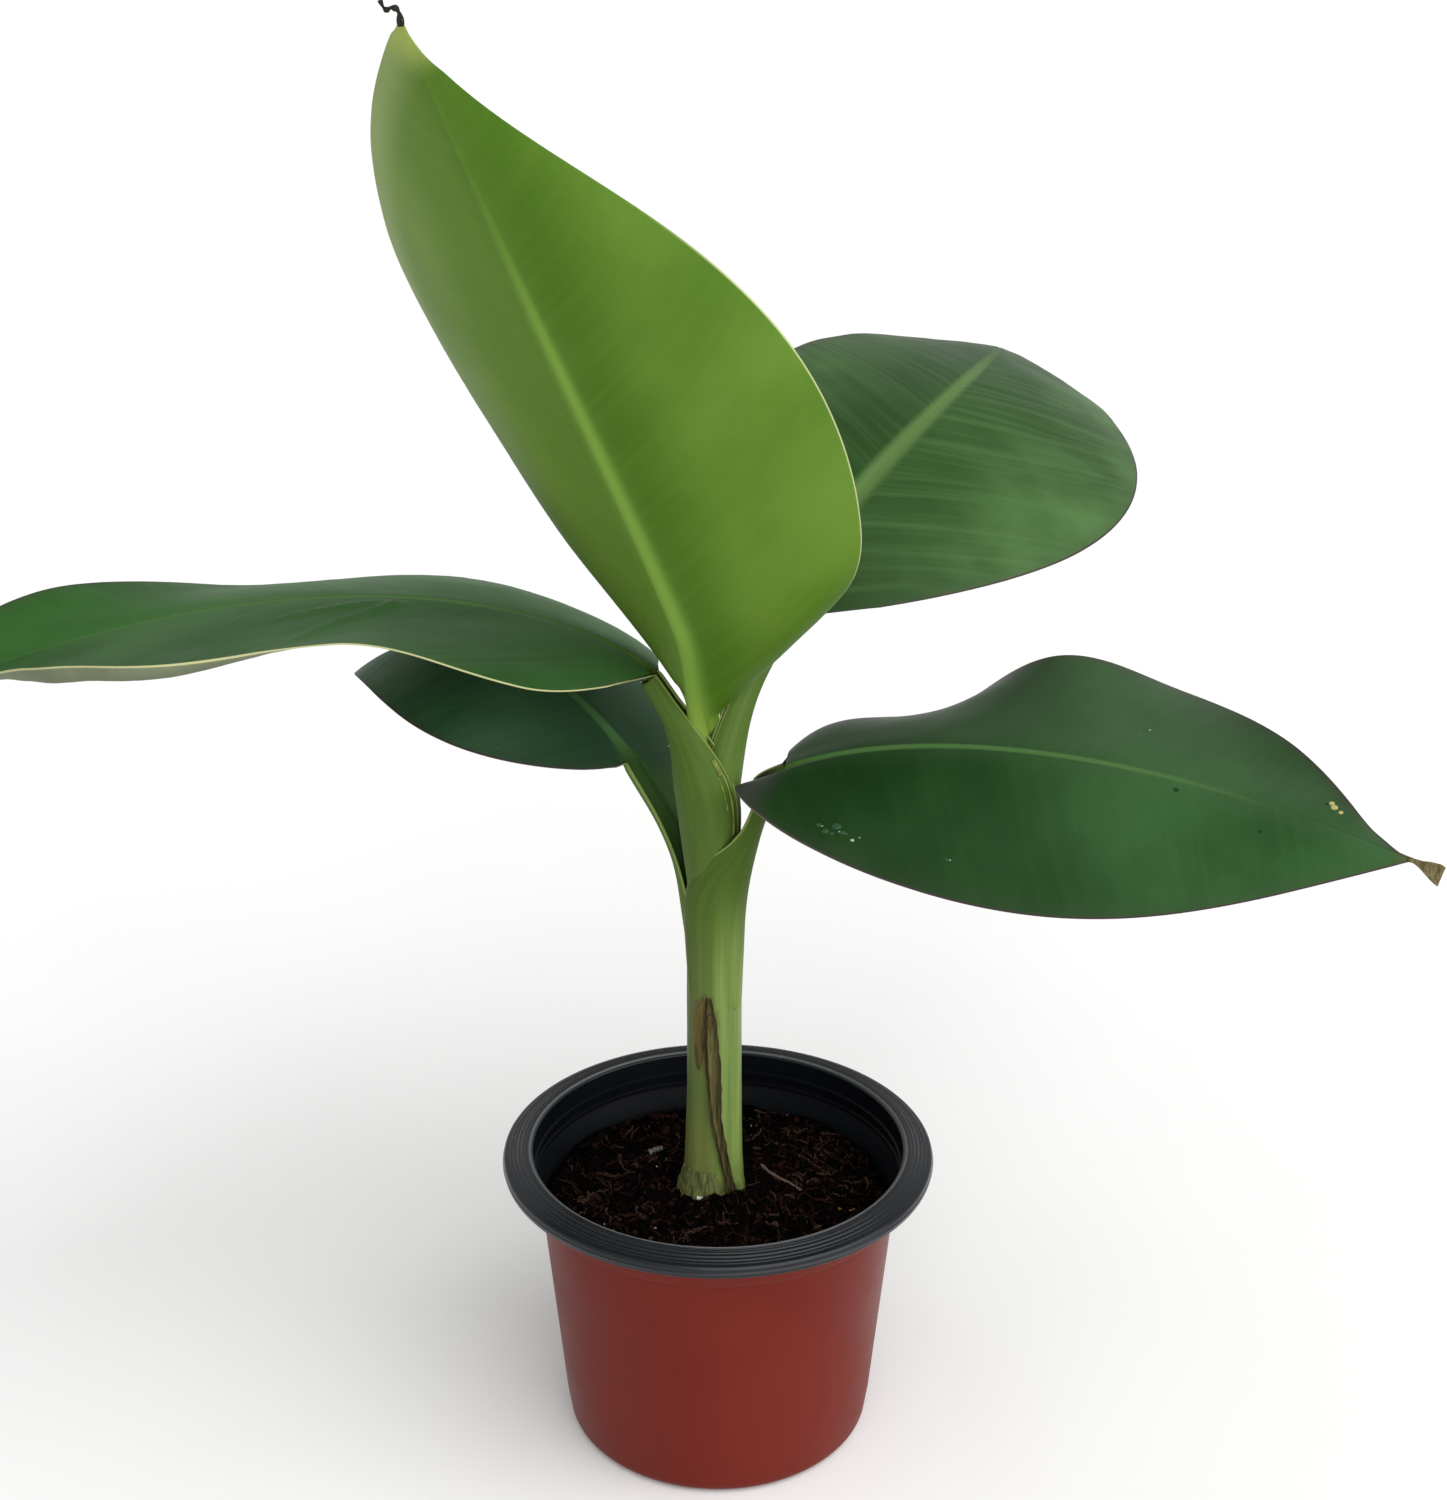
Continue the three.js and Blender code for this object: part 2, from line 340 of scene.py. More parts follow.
def grid_sheet(columns: int, rows: int) -> Shape:
    """A flat closed sheet of two layers, from -1 to 1 in X and Y, with its upper layer higher in Z.

    Args:
        columns: Faces across.
        rows: Faces along.

    Returns:
        The sheet, with upper faces numbered 0 and the rest 1.
    """
    sheet = bmesh.new()
    bmesh.ops.create_grid(sheet, x_segments=columns, y_segments=rows, size=1.0)
    bmesh.ops.solidify(sheet, geom=sheet.faces[:], thickness=1.0)
    face_out(sheet)
    for face in sheet.faces:
        face.material_index = Side.UPPER.value if face.normal.z > 0.5 else Side.LOWER.value
    return sheet


def sheet_indices(sheet: Shape, columns: int, rows: int) -> tuple[Array, Array, Array]:
    """Column, row and layer of each vertex of a flat sheet.

    Args:
        sheet: Sheet from grid_sheet.
        columns: Faces across.
        rows: Faces along.

    Returns:
        Column numbers, row numbers and, for the upper layer, True.
    """
    flat = corners(sheet)
    column = np.rint((flat[:, 0] + 1.0) / 2.0 * columns).astype(int)
    row = np.rint((flat[:, 1] + 1.0) / 2.0 * rows).astype(int)
    return column, row, flat[:, 2] > flat[:, 2].mean()


def move_to(sheet: Shape, places: Array) -> None:
    """Move every vertex to its place."""
    for vertex, place in zip(sheet.verts, places):
        vertex.co = place


def wrapped_grid(around: int, along: int) -> tuple[Shape, Array, Array]:
    """A flat grid that is to be wrapped round an axis.

    Args:
        around: Faces round the axis.
        along: Faces along it, or out from it.

    Returns:
        The grid, and for each vertex its angle in radians and its share of the way along.
    """
    grid = bmesh.new()
    bmesh.ops.create_grid(grid, x_segments=around, y_segments=along, size=1.0)
    flat = corners(grid)
    return grid, math.pi * (flat[:, 0] + 1.0), (flat[:, 1] + 1.0) / 2.0


def close_ends(shape: Shape) -> None:
    """Fill the open ends and turn all faces outwards."""
    bmesh.ops.holes_fill(shape, edges=[edge for edge in shape.edges if edge.is_boundary])
    face_out(shape)


def straight_tube(sides: int, rings: int) -> Shape:
    """A closed tube of radius one along Z, with a ring of corners at each whole number.

    Args:
        sides: Faces round it.
        rings: Rings of corners along it.

    Returns:
        The tube.
    """
    tube, angle, share = wrapped_grid(sides, rings - 1)
    move_to(tube, np.stack([np.cos(angle), np.sin(angle), np.rint(share * (rings - 1))], -1))
    weld(tube, UNIT_WELD)
    close_ends(tube)
    return tube


def bent_tubes(template: Shape, paths: Array, radii: Array) -> Array:
    """Bend copies of a straight tube along paths.

    Args:
        template: Tube from straight_tube.
        paths: For each copy, the middle of each ring.
        radii: For each copy, the radius of each ring.

    Returns:
        For each copy, the places of its vertices.
    """
    plain = corners(template)
    ring = np.rint(plain[:, 2]).astype(int)
    along = unit(np.gradient(paths, axis=1))
    level = unit(np.cross(along, TUBE_ASIDE))
    third = np.cross(along, level)
    out = plain[:, 0, None] * level[:, ring] + plain[:, 1, None] * third[:, ring]
    return paths[:, ring] + radii[:, ring, None] * out


def store(mesh: bpy.types.Mesh, name: str, values: Array) -> None:
    """Keep three numbers for each vertex under a name."""
    mesh.attributes.new(name, "FLOAT_VECTOR", "POINT").data.foreach_set("vector", values.ravel())


def join_copies(name: str, template: Shape, places: Array, kinds: Array,
                finishes: list) -> Piece:
    """Join many copies of a small shape in one piece.

    Args:
        name: Name of the piece.
        template: Shape whose faces each copy has, which is freed.
        places: For each copy, the places of its vertices.
        kinds: For each copy, the number of its material.
        finishes: The materials.

    Returns:
        The piece.
    """
    template.verts.index_update()
    faces = [[vertex.index for vertex in face.verts] for face in template.faces]
    size = len(template.verts)
    template.free()
    mesh = bpy.data.meshes.new(name)
    shifted = [[corner + copy * size for corner in face] for copy in range(len(places)) for face in faces]
    mesh.from_pydata(places.reshape(-1, 3), [], shifted)
    mesh.polygons.foreach_set("material_index", np.repeat(kinds, len(faces)))
    return place_piece(name, mesh, finishes)


@dataclass(frozen=True)
class SheathTint:
    """Colour of the sheaths on the trunk: yellow-green in fine lengthwise lines, with painted shade on the
    side towards -X.
    """

    dark: Colour = (0.092, 0.152, 0.028)
    light: Colour = (0.236, 0.330, 0.086)
    olive: Colour = (0.055, 0.073, 0.014)
    straw: Colour = (0.17, 0.165, 0.045)

    LINES_SHARE = 0.5
    BROAD_SHARE = 0.6
    STRAW_TO = mm(95, 122)
    SHADED_SIDE = mm(-6, 2)
    SHADE = 0.65

    def lines(self, graph: Graph) -> Socket:
        """Fine lengthwise lines about a half."""
        return graph.noise(420.0, 3.0, graph.place((1.0, 1.0, 0.03)))

    def colour(self, graph: Graph, lines: Socket) -> Socket:
        """Colour of the sheaths.

        Args:
            graph: Tree to add to.
            lines: Fine lines from lines().

        Returns:
            The colour.
        """
        broad = graph.noise(120.0, 2.0, graph.place((1.0, 1.0, 0.05)))
        share = graph.math("ADD", graph.times(lines, self.LINES_SHARE), graph.times(broad, self.BROAD_SHARE))
        colour = graph.mix(graph.band(share, 0.32, 0.8), self.dark, self.light)
        # Painted shade on the side towards -X: mixed towards olive, and low down towards straw
        aside, _, height = graph.split(graph.place())
        shade = graph.mix(graph.band(height, *self.STRAW_TO), self.straw, self.olive)
        return graph.mix(graph.times(graph.fall(aside, *self.SHADED_SIDE), self.SHADE), colour, shade)


PALE_EDGE = (0.42, 0.47, 0.22)
PURPLE_EDGE = (0.045, 0.035, 0.033)
DULL_EDGE = (0.14, 0.13, 0.10)


@dataclass(frozen=True)
class BladeFinish:
    """Finish of one side of a leaf: a green field with veins, a paler rib, a thin margin and a stalk."""

    dark: Colour
    light: Colour
    rib: Colour
    margin_left: Colour = PURPLE_EDGE
    margin_right: Colour = PURPLE_EDGE
    stalk_dark: Colour = (0.075, 0.14, 0.025)
    stalk_light: Colour = (0.16, 0.25, 0.05)
    tip: Colour = (0.10, 0.12, 0.03)
    tip_from: float = 0.96
    rib_share: float = 1.0
    rib_fade: float = 1.0
    margin_width: float = 0.8
    blush_left: float = 0.0
    blush_right: float = 0.0
    blush_width: float = 7.0
    blush_from: float = -1.0
    base_shade: float = 1.0
    base_to: float = 0.45
    roughness: float = 0.42
    specular: float = 0.22
    vein_length: float = 1.4
    vein_depth: float = 0.12
    streaks: float = 0.35
    clouds: float = 1.0
    halo: float = 0.0
    halo_width: float = 26.0
    rib_soft: float = 0.35
    margin_to: float = 2.0
    sheath_to: float = -0.65
    freckles: float = 0.0
    # Painted light: a colour laid over each half up to a share of the length; a painted sheen on some
    # leaves, painted shade on one and a painted glow on the young leaf
    painted_light: Colour = (0.10, 0.13, 0.09)
    painted_light_left: float = 0.0
    painted_light_right: float = 0.0
    painted_light_to: float = 2.0
    lobe_blush: float = 0.0

    LOBE_TINT = (0.038, 0.040, 0.036)
    RIM_PALE_AND_HIGHLIGHT = (0.34, 0.41, 0.13)
    FRECKLE_TINT = (0.30, 0.33, 0.22)
    RIB_EDGE = 0.9
    STALK_END = (-0.18, 0.02)
    THROAT_FROM = (-0.14, -0.05)
    THROAT_TO = (0.01, 0.05)
    BASE_DARK = 0.35
    RIM_PALE_AND_HIGHLIGHT_SHARE = 0.45
    ROUGH_SPREAD = (0.07, 0.09)

    def material(self, name: str) -> Material:
        """Build the finish as a material.

        Args:
            name: Name of the material.

        Returns:
            The material, which reads the leaf's own attributes.
        """
        graph = Graph(name)
        along, rib, margin = graph.attribute("leaf_place")
        vein, out, _ = graph.attribute("vein_place")
        run = graph.join(graph.times(vein, 0.22), graph.times(out, 0.012), 0.0)
        streak = graph.band(graph.noise(1.0, 4.0, run), 0.40, 0.74)
        fine = graph.stripes(vein, self.vein_length)
        colour = self.green(graph, along, graph.math("ABSOLUTE", out), streak, fine)
        colour = self.paint_half_light(graph, colour, along, out)
        off_rib = graph.math("ABSOLUTE", rib)
        rib_from = (self.RIB_EDGE - self.rib_soft) * self.rib_share
        rib_to = (self.RIB_EDGE + self.rib_soft) * self.rib_share
        on_rib = graph.fall(off_rib, rib_from, rib_to)
        rib_reach = graph.fall(along, 0.65 * self.rib_fade, self.rib_fade)
        colour = graph.mix(graph.times(on_rib, rib_reach), colour, self.rib)
        colour = self.edged(graph, colour, along, rib, margin)
        colour = graph.mix(graph.band(along, self.tip_from, self.tip_from + 0.05), colour, self.tip)
        near_rib = graph.times(graph.fall(off_rib, 1.0, 1.6), graph.fall(along, 0.0, 0.1))
        on_stalk = graph.math("MAXIMUM", graph.fall(along, *self.STALK_END), near_rib)
        colour = graph.mix(on_stalk, colour, self.stalk(graph, along, rib, margin))
        throat = graph.times(graph.band(along, *self.THROAT_FROM), graph.fall(along, *self.THROAT_TO))
        colour = graph.mix(graph.times(throat, self.lobe_blush), colour, self.LOBE_TINT)
        if self.freckles > 0.0:
            spots = graph.band(graph.noise(420.0, 1.0), 0.78, 0.82)
            colour = graph.mix(graph.times(spots, self.freckles), colour, self.FRECKLE_TINT)
        relief = graph.bump(streak, self.vein_depth * MM, 0.6)
        relief = graph.bump(fine, 0.2 * self.vein_depth * MM, 0.5, relief)
        relief = graph.bump(graph.noise(900.0, 2.0), 0.05 * MM, 0.4, relief)
        smoother, rougher = self.ROUGH_SPREAD
        rough = graph.span(graph.noise(30.0, 3.0), self.roughness - smoother, self.roughness + rougher)
        return graph.finish(colour, rough, self.specular, relief)

    def green(self, graph: Graph, along: Socket, out: Socket, streak: Socket, fine: Socket) -> Socket:
        """Green of the blade's field.

        Args:
            graph: Tree to add to.
            along: Share of the leaf's length.
            out: Distance from the rib, in millimetres.
            streak: Uneven streaks along the side veins.
            fine: Fine side veins.

        Returns:
            The colour.
        """
        cloud = graph.band(graph.noise(18.0, 4.0), 0.3, 0.7)
        colour = graph.mix(graph.span(cloud, 0.5 - 0.5 * self.clouds, 1.0), self.dark, self.light)
        beside = graph.times(graph.fall(out, 0.3 * self.halo_width, self.halo_width), self.halo)
        colour = graph.mix(beside, colour, self.dark)
        colour = graph.mix(graph.times(streak, self.streaks), colour, self.light)
        colour = graph.mix(graph.times(fine, 0.10), colour, self.dark)
        shade = graph.times(graph.fall(along, 0.0, self.base_to), 1.0 - self.base_shade)
        return graph.mix(shade, colour, tuple(self.BASE_DARK * part for part in self.dark))

    def paint_half_light(self, graph: Graph, colour: Socket, along: Socket, out: Socket) -> Socket:
        """Lay each half's painted light over the field, and the blush of a lobe at the right half's base.

        Args:
            graph: Tree to add to.
            colour: Colour below.
            along: Share of the leaf's length.
            out: Distance from the rib in millimetres, below 0 on the left half.

        Returns:
            The colour.
        """
        # Painted light over each half: sheen, shade and glow, as each leaf sets it
        right = graph.band(out, -9.0, 9.0)
        share = graph.span(right, self.painted_light_left, self.painted_light_right)
        reach = graph.fall(along, self.painted_light_to - 0.1, self.painted_light_to + 0.1)
        colour = graph.mix(graph.times(share, reach), colour, self.painted_light)
        lobe = graph.times(graph.fall(along, 0.02, 0.075), self.lobe_blush)
        return graph.mix(graph.times(lobe, right), colour, self.LOBE_TINT)

    def edged(self, graph: Graph, colour: Socket, along: Socket, rib: Socket, margin: Socket) -> Socket:
        """Lay the margin's thin line and its wide blush over the field.

        Args:
            graph: Tree to add to.
            colour: Colour below.
            along: Share of the leaf's length.
            rib: Place across the leaf, below 0 on the left half.
            margin: Distance from the margin, in millimetres.

        Returns:
            The colour.
        """
        right = graph.band(rib, -0.01, 0.01)
        edge_colour = graph.mix(right, self.margin_left, self.margin_right)
        share = graph.span(right, self.blush_left, self.blush_right)
        blush = graph.times(graph.fall(margin, 0.0, self.blush_width), share)
        blush = graph.times(blush, graph.band(along, self.blush_from, self.blush_from + 0.3))
        line = graph.fall(margin, 0.5 * self.margin_width, self.margin_width)
        line = graph.times(line, graph.fall(along, self.margin_to - 0.2, self.margin_to))
        return graph.mix(line, graph.mix(blush, colour, edge_colour), edge_colour)

    def stalk(self, graph: Graph, along: Socket, rib: Socket, margin: Socket) -> Socket:
        """Colour of the stalk, which turns into the trunk's colour on its way down, with a pale line along
        its margins that is partly its own paler edge and partly a painted highlight.

        Args:
            graph: Tree to add to.
            along: Share of the leaf's length, below 0 on the stalk.
            rib: Place across the leaf.
            margin: Distance from the margin, in millimetres.

        Returns:
            The colour.
        """
        lines = graph.join(graph.times(rib, 9.0), graph.times(along, 1.6), 0.0)
        colour = graph.mix(graph.noise(1.4, 3.0, lines), self.stalk_dark, self.stalk_light)
        tint = SheathTint()
        low = graph.fall(along, self.sheath_to - 0.45, self.sheath_to + 0.15)
        colour = graph.mix(low, colour, tint.colour(graph, tint.lines(graph)))
        # A pale line along the stalk's margins: partly its own paler edge, partly a painted highlight
        rim = graph.times(graph.fall(margin, 0.25, 0.8), self.RIM_PALE_AND_HIGHLIGHT_SHARE)
        return graph.mix(rim, colour, self.RIM_PALE_AND_HIGHLIGHT)


@dataclass(frozen=True)
class HalfBlade:
    """One half of a blade: its width, the roundness of its ends and how it folds, curls and waves."""

    width: float
    base: float
    tip: float
    fold: tuple[float, float] = (0.0, 0.0)
    curl: tuple[float, float] = (-10.0, -10.0)
    slant: float = 0.0
    start: float = 0.0
    wave: float = 0.0
    lobe: float = 0.0
    lobe_lift: float = 0.0
    wedge: float = 0.0
    cut: float = 0.0
    wing: float = 0.0
    wing_from: float = 0.5
    roll: "EdgeRoll | None" = None

    LOBE_REACH = 0.06
    WING_REACH = 0.12
    CUT_REACH = 0.006
    WEDGE_SHARPNESS = 14

    def reach(self, share: Array, fullness: float, blade: float) -> Array:
        """Half width along the blade.

        Args:
            share: Share of the blade's length.
            fullness: Below 1 the widest place moves to the base.
            blade: Length of the blade.

        Returns:
            The half width at each share.
        """
        own = np.clip((share - self.start) / (1.0 - self.start), 0.0, 1.0)
        swell = np.maximum(0.0, np.sin(math.pi * own**fullness))
        plain = self.width * swell ** blend(self.base, self.tip, own)
        if self.wedge == 0.0:
            return plain
        wedge = np.maximum(self.wedge * own * blade, 1e-6)
        least, most = np.minimum(plain, wedge), np.maximum(plain, wedge)
        eased = least * (1.0 + (least / most) ** self.WEDGE_SHARPNESS) ** (-1 / self.WEDGE_SHARPNESS)
        return eased * smooth(share, self.cut - self.CUT_REACH, self.cut)


@dataclass(frozen=True)
class EdgeRoll:
    """A stretch of margin that is wider than the rest and rolls up."""

    begin: tuple[float, float]
    end: tuple[float, float]
    angle: float
    width: float
    extra: float

    def strength(self, share: Array) -> Array:
        """How much of the roll is there along the blade."""
        return smooth(share, *self.begin) * (1.0 - smooth(share, *self.end))


@dataclass(frozen=True)
class Crease:
    """A raised fold in a blade. Its ends give the share of the length and the distance from the rib.

    The distance is below 0 on the left half.
    """

    start: tuple[float, float]
    end: tuple[float, float]
    height: float
    width: float

    FADE_IN = (0.0, 0.08)
    FADE_OUT = (0.55, 1.0)

    def lift(self, run: Array, out: Array, blade: float) -> Array:
        """Height of the fold at places on the blade.

        Args:
            run: Distance along the rib.
            out: Signed distance from the rib.
            blade: Length of the blade.

        Returns:
            The heights.
        """
        first = np.array([self.start[0] * blade, self.start[1]])
        line = np.array([self.end[0] * blade, self.end[1]]) - first
        place = np.stack(np.broadcast_arrays(run - first[0], out - first[1]), -1)
        share = np.clip(place @ line / (line @ line), 0.0, 1.0)
        gap = np.linalg.norm(place - share[..., None] * line, axis=-1)
        fade = smooth(share, *self.FADE_IN) * (1.0 - smooth(share, *self.FADE_OUT))
        return self.height * fade * np.exp(-((gap / self.width) ** 2))


@dataclass(frozen=True)
class SheathPath:
    """How a leaf's sheath climbs the stem and turns into its stalk.

    It follows the stem's axis up to the height where it leaves. The sizes at each height are the radius of
    the channel, the half angle that its walls take up and, where it leans, its turn about its own length.
    """

    start: float
    leave: float
    rise: float
    lead: float
    arrive: float
    heights: tuple
    radii: tuple
    wraps: tuple
    turns: tuple = ()
    wall: float = 0.8 * MM


@dataclass(frozen=True)
class Rows:
    """Stations along a leaf, one for each row of its mesh."""

    middle: Array
    along: Array
    across: Array
    normal: Array
    radius: Array
    angle: Array
    share: Array
    mark: Array
    keel: Array
    edge: Array


@dataclass(frozen=True)
class Leaf:
    """A banana leaf: a sheath wrapped round the stem, a channelled stalk and a blade of two halves."""

    name: str
    foot: Point
    azimuth: float
    sweep: float
    rise: float
    crest: float
    droop: float
    bend: float
    roll: float
    twist: float
    stalk: float
    blade: float
    fullness: float
    tip_slant: float
    left: HalfBlade
    right: HalfBlade
    sheath: SheathPath
    upper: BladeFinish
    lower: BladeFinish
    slot: Slot
    waves: float = 2.0
    phase: float = 0.0
    stalk_radius: float = 2.5 * MM
    channel: float = 130.0
    rib: float = 1.4 * MM
    keel: float = 1.7 * MM
    vein_relief: float = 0.06 * MM
    ripple: float = 0.5 * MM
    nudge: Point = (0.0, 0.0, 0.0)
    creases: tuple = ()
    seed: float = 1.0

    COLUMNS = 64
    NUDGE_REACH = 0.17
    STALK_ROWS = 44
    BLADE_ROWS = 190
    GROOVE = 35.0
    CLOSING = 0.06
    RIB_TIP = 0.4 * MM
    BLADE_THICKNESS = 0.45 * MM
    STALK_EDGE = 0.6 * MM
    VEIN_LEAN = 0.45
    VEIN_BOW = 3.5
    JOINT_ROWS = 14
    JOINT_ROUNDS = 40
    RIB_STEPS = 1200
    STALK_STEPS = 100
    CROWDING = 0.035
    CROWD_REACH = 0.05
    STALK_TURN = (0.5, 1.0)
    KEEL_TIP = 0.3 * MM
    KEEL_REACH = 1.2
    OPENING = 4 * MM
    VEIN_BOW_AT = 60.0
    VEIN_SPACING = 9.0
    VEIN_DRIFT = 50.0
    VEIN_WANDER = 2.6
    RIPPLE_SIZE = (60.0, 40.0)
    PLEAT_SIZE = (3.6, 45.0)
    PLEAT_MARGIN = 3 * MM
    LOOSE_FROM_RIB = mm(2, 9)

    def frames(self, slope: Array, azimuth: Array, roll: Array) -> tuple:
        """Directions of the rib.

        Args:
            slope: Climb of the rib, in degrees.
            azimuth: Heading of the rib, in degrees.
            roll: Turn about the rib, in degrees.

        Returns:
            Along, across and upper-side directions.
        """
        climb, head, turn = np.radians(slope), np.radians(azimuth), np.radians(roll)[:, None]
        along = np.stack([np.cos(climb) * np.cos(head), np.cos(climb) * np.sin(head), np.sin(climb)], 1)
        level = np.stack([np.sin(head), -np.cos(head), 0.0 * head], 1)
        upper = np.cross(level, along)
        across = level * np.cos(turn) + upper * np.sin(turn)
        normal = upper * np.cos(turn) - level * np.sin(turn)
        return along, across, normal

    def blade_slope(self, share: Array) -> Array:
        """Climb of the rib along the blade, in degrees."""
        return blend(self.crest, self.droop, share**self.bend)

    def blade_base(self) -> Array:
        """Place where the stalk ends and the blade begins.

        Returns:
            The place.
        """
        steps = (np.arange(self.STALK_STEPS) + 0.5) / self.STALK_STEPS
        slope = blend(self.rise, self.crest, steps)
        along, _, _ = self.frames(slope, self.azimuth + 0 * steps, 0 * steps)
        return np.array(self.foot) + along.mean(0) * self.stalk

    def rib_line(self, share: Array) -> Array:
        """Places along the blade's rib.

        Args:
            share: Shares of the blade's length.

        Returns:
            One place for each share.
        """
        fine = np.linspace(0.0, 1.0, self.RIB_STEPS + 1)
        half_way = (fine[1:] + fine[:-1]) / 2
        heading = self.azimuth + self.sweep * half_way
        along, _, _ = self.frames(self.blade_slope(half_way), heading, 0 * half_way)
        walked = np.concatenate([np.zeros((1, 3)), np.cumsum(along * self.blade / self.RIB_STEPS, 0)])
        return self.blade_base() + np.stack([np.interp(share, fine, walked[:, k]) for k in range(3)], 1)

    def blade_rows(self) -> Rows:
        """Stations along the blade, closer together near its base.

        Returns:
            The stations.
        """
        even = np.linspace(0.0, 1.0, self.BLADE_ROWS + 1)
        share = even - self.CROWDING * (1.0 - np.exp(-even / self.CROWD_REACH))
        share = share / share[-1]
        turn = self.roll + self.twist * share
        along, across, normal = self.frames(self.blade_slope(share), self.azimuth + self.sweep * share, turn)
        closing = np.exp(-share / self.CLOSING)
        angle = np.radians(self.GROOVE + (self.channel - self.GROOVE) * closing)
        mouth = self.stalk_radius * math.sin(math.radians(self.channel))
        half = self.RIB_TIP + self.rib * (1.0 - share) + (mouth - self.rib - self.RIB_TIP) * closing
        radius = half / np.sin(angle)
        middle = self.rib_line(share) + (radius * np.cos(angle))[:, None] * normal
        middle = middle + (1.0 - smooth(share, 0.0, self.NUDGE_REACH))[:, None] * np.array(self.nudge)
        keel = self.KEEL_TIP + (self.keel - self.KEEL_TIP) * (1.0 - share) ** 0.9
        edge = np.full(len(share), self.BLADE_THICKNESS)
        return Rows(middle, along, across, normal, radius, angle, share, share, keel, edge)

    def stalk_rows(self, blade: Rows, stem: "Pseudostem") -> Rows:
        """Stations from the sheath's start on the stem to the blade.

        Args:
            blade: Stations of the blade.
            stem: Stem that the sheath wraps.

        Returns:
            The stations, without the one that the blade begins with.
        """
        path = self.sheath
        even = np.linspace(0.0, 1.0, self.STALK_ROWS + 1)[:-1]
        step = 1.0 - (1.0 - even) ** 1.5
        start, leave = stem.axis(np.array([path.start, path.leave]))
        end = blade.middle[0]
        climb = np.linalg.norm(leave - start) / (np.linalg.norm(leave - start) + np.linalg.norm(end - leave))
        arrive, _, _ = self.frames(np.array([path.arrive]), np.array([self.azimuth]), np.zeros(1))
        knots = [leave, leave + path.rise * UP, end - path.lead * arrive[0], end]
        t = np.clip((step - climb) / (1.0 - climb), 0.0, 1.0)[:, None]
        middle = (1 - t) ** 3 * knots[0] + 3 * (1 - t) ** 2 * t * knots[1]
        middle = middle + 3 * (1 - t) * t * t * knots[2] + t**3 * knots[3]
        middle = middle + (start - leave) * np.clip(1.0 - step / climb, 0.0, 1.0)[:, None]
        along = (1 - t) ** 2 * (knots[1] - knots[0]) + 2 * (1 - t) * t * (knots[2] - knots[1])
        along = unit(along + t * t * (knots[3] - knots[2]))
        head = math.radians(self.azimuth)
        level = np.array([math.sin(head), -math.cos(head), 0.0])
        upper = unit(np.cross(level, along))
        flat = np.cross(along, upper)
        heights = np.array([*path.heights, end[2]])
        turn = self.roll * smooth(step, *self.STALK_TURN)
        if path.turns:
            turn = turn + np.interp(middle[:, 2], heights, [*path.turns, 0.0])
        turn = np.radians(turn)[:, None]
        across = flat * np.cos(turn) + upper * np.sin(turn)
        normal = upper * np.cos(turn) - flat * np.sin(turn)
        radius = np.interp(middle[:, 2], heights, [*path.radii, blade.radius[0]])
        angle = np.radians(np.interp(middle[:, 2], heights, [*path.wraps, self.channel]))
        keel = blend(path.wall, self.keel, smooth(step, *self.STALK_TURN))
        edge = np.full(len(step), self.STALK_EDGE)
        return Rows(middle, along, across, normal, radius, angle, 0 * step, step - 1.0, keel, edge)

    def rows(self, stem: "Pseudostem") -> Rows:
        """All stations, from the sheath's start to the tip, with an eased turn from stalk to blade.

        Args:
            stem: Stem that the sheath wraps.

        Returns:
            The stations.
        """
        blade = self.blade_rows()
        stalk = self.stalk_rows(blade, stem)
        joined = [np.concatenate([a, b]) for a, b in zip(vars(stalk).values(), vars(blade).values())]
        middle, along, normal = joined[0], joined[1], joined[3]
        low, high = self.STALK_ROWS - self.JOINT_ROWS, self.STALK_ROWS + self.JOINT_ROWS
        for _ in range(self.JOINT_ROUNDS):
            for values in (middle, along, normal):
                values[low:high] = evened(values, low, high)
        for _ in range(self.JOINT_ROUNDS // 4):
            for values in joined[4:6]:
                values[1:high] = evened(values, 1, high)
        along = unit(along)
        normal = unit(normal - np.sum(normal * along, 1)[:, None] * along)
        return Rows(middle, along, np.cross(along, normal), normal, *joined[4:])

    def near_rim(self, stem: "Pseudostem", place: float) -> Array:
        """Places on the sheath's outer face beside the left half's margin.

        Args:
            stem: Stem that the sheath lies on.
            place: Share of the way from the sheath's back to its margin.

        Returns:
            One place for each station, from the sheath's start on.
        """
        rows = self.rows(stem)
        points = self.half_surface(rows, self.left, Half.LEFT.value, np.array([0.0, place]))[0][:, -1]
        return points + self.sheath.wall * unit(points - rows.middle)

    def half_width(self, rows: Rows, half: HalfBlade) -> Array:
        """Half width of one half at each station, with its wing along the stalk.

        Args:
            rows: Stations.
            half: Sizes of this half.

        Returns:
            The half widths.
        """
        chord = rows.radius * np.sin(rows.angle)
        on_blade = rows.mark >= 0.0
        past_base = 1.0 - smooth(rows.share, 0.0, half.WING_REACH)
        wing = half.wing * np.where(on_blade, past_base, smooth(rows.mark, -half.wing_from, 0.0))
        reach = np.where(on_blade, half.reach(rows.share, self.fullness, self.blade), 0.0)
        reach = np.maximum(reach, np.where(wing > 0.0, chord + wing, 0.0))
        if half.roll:
            reach = reach + half.roll.extra * half.roll.strength(rows.share) * on_blade
        return reach

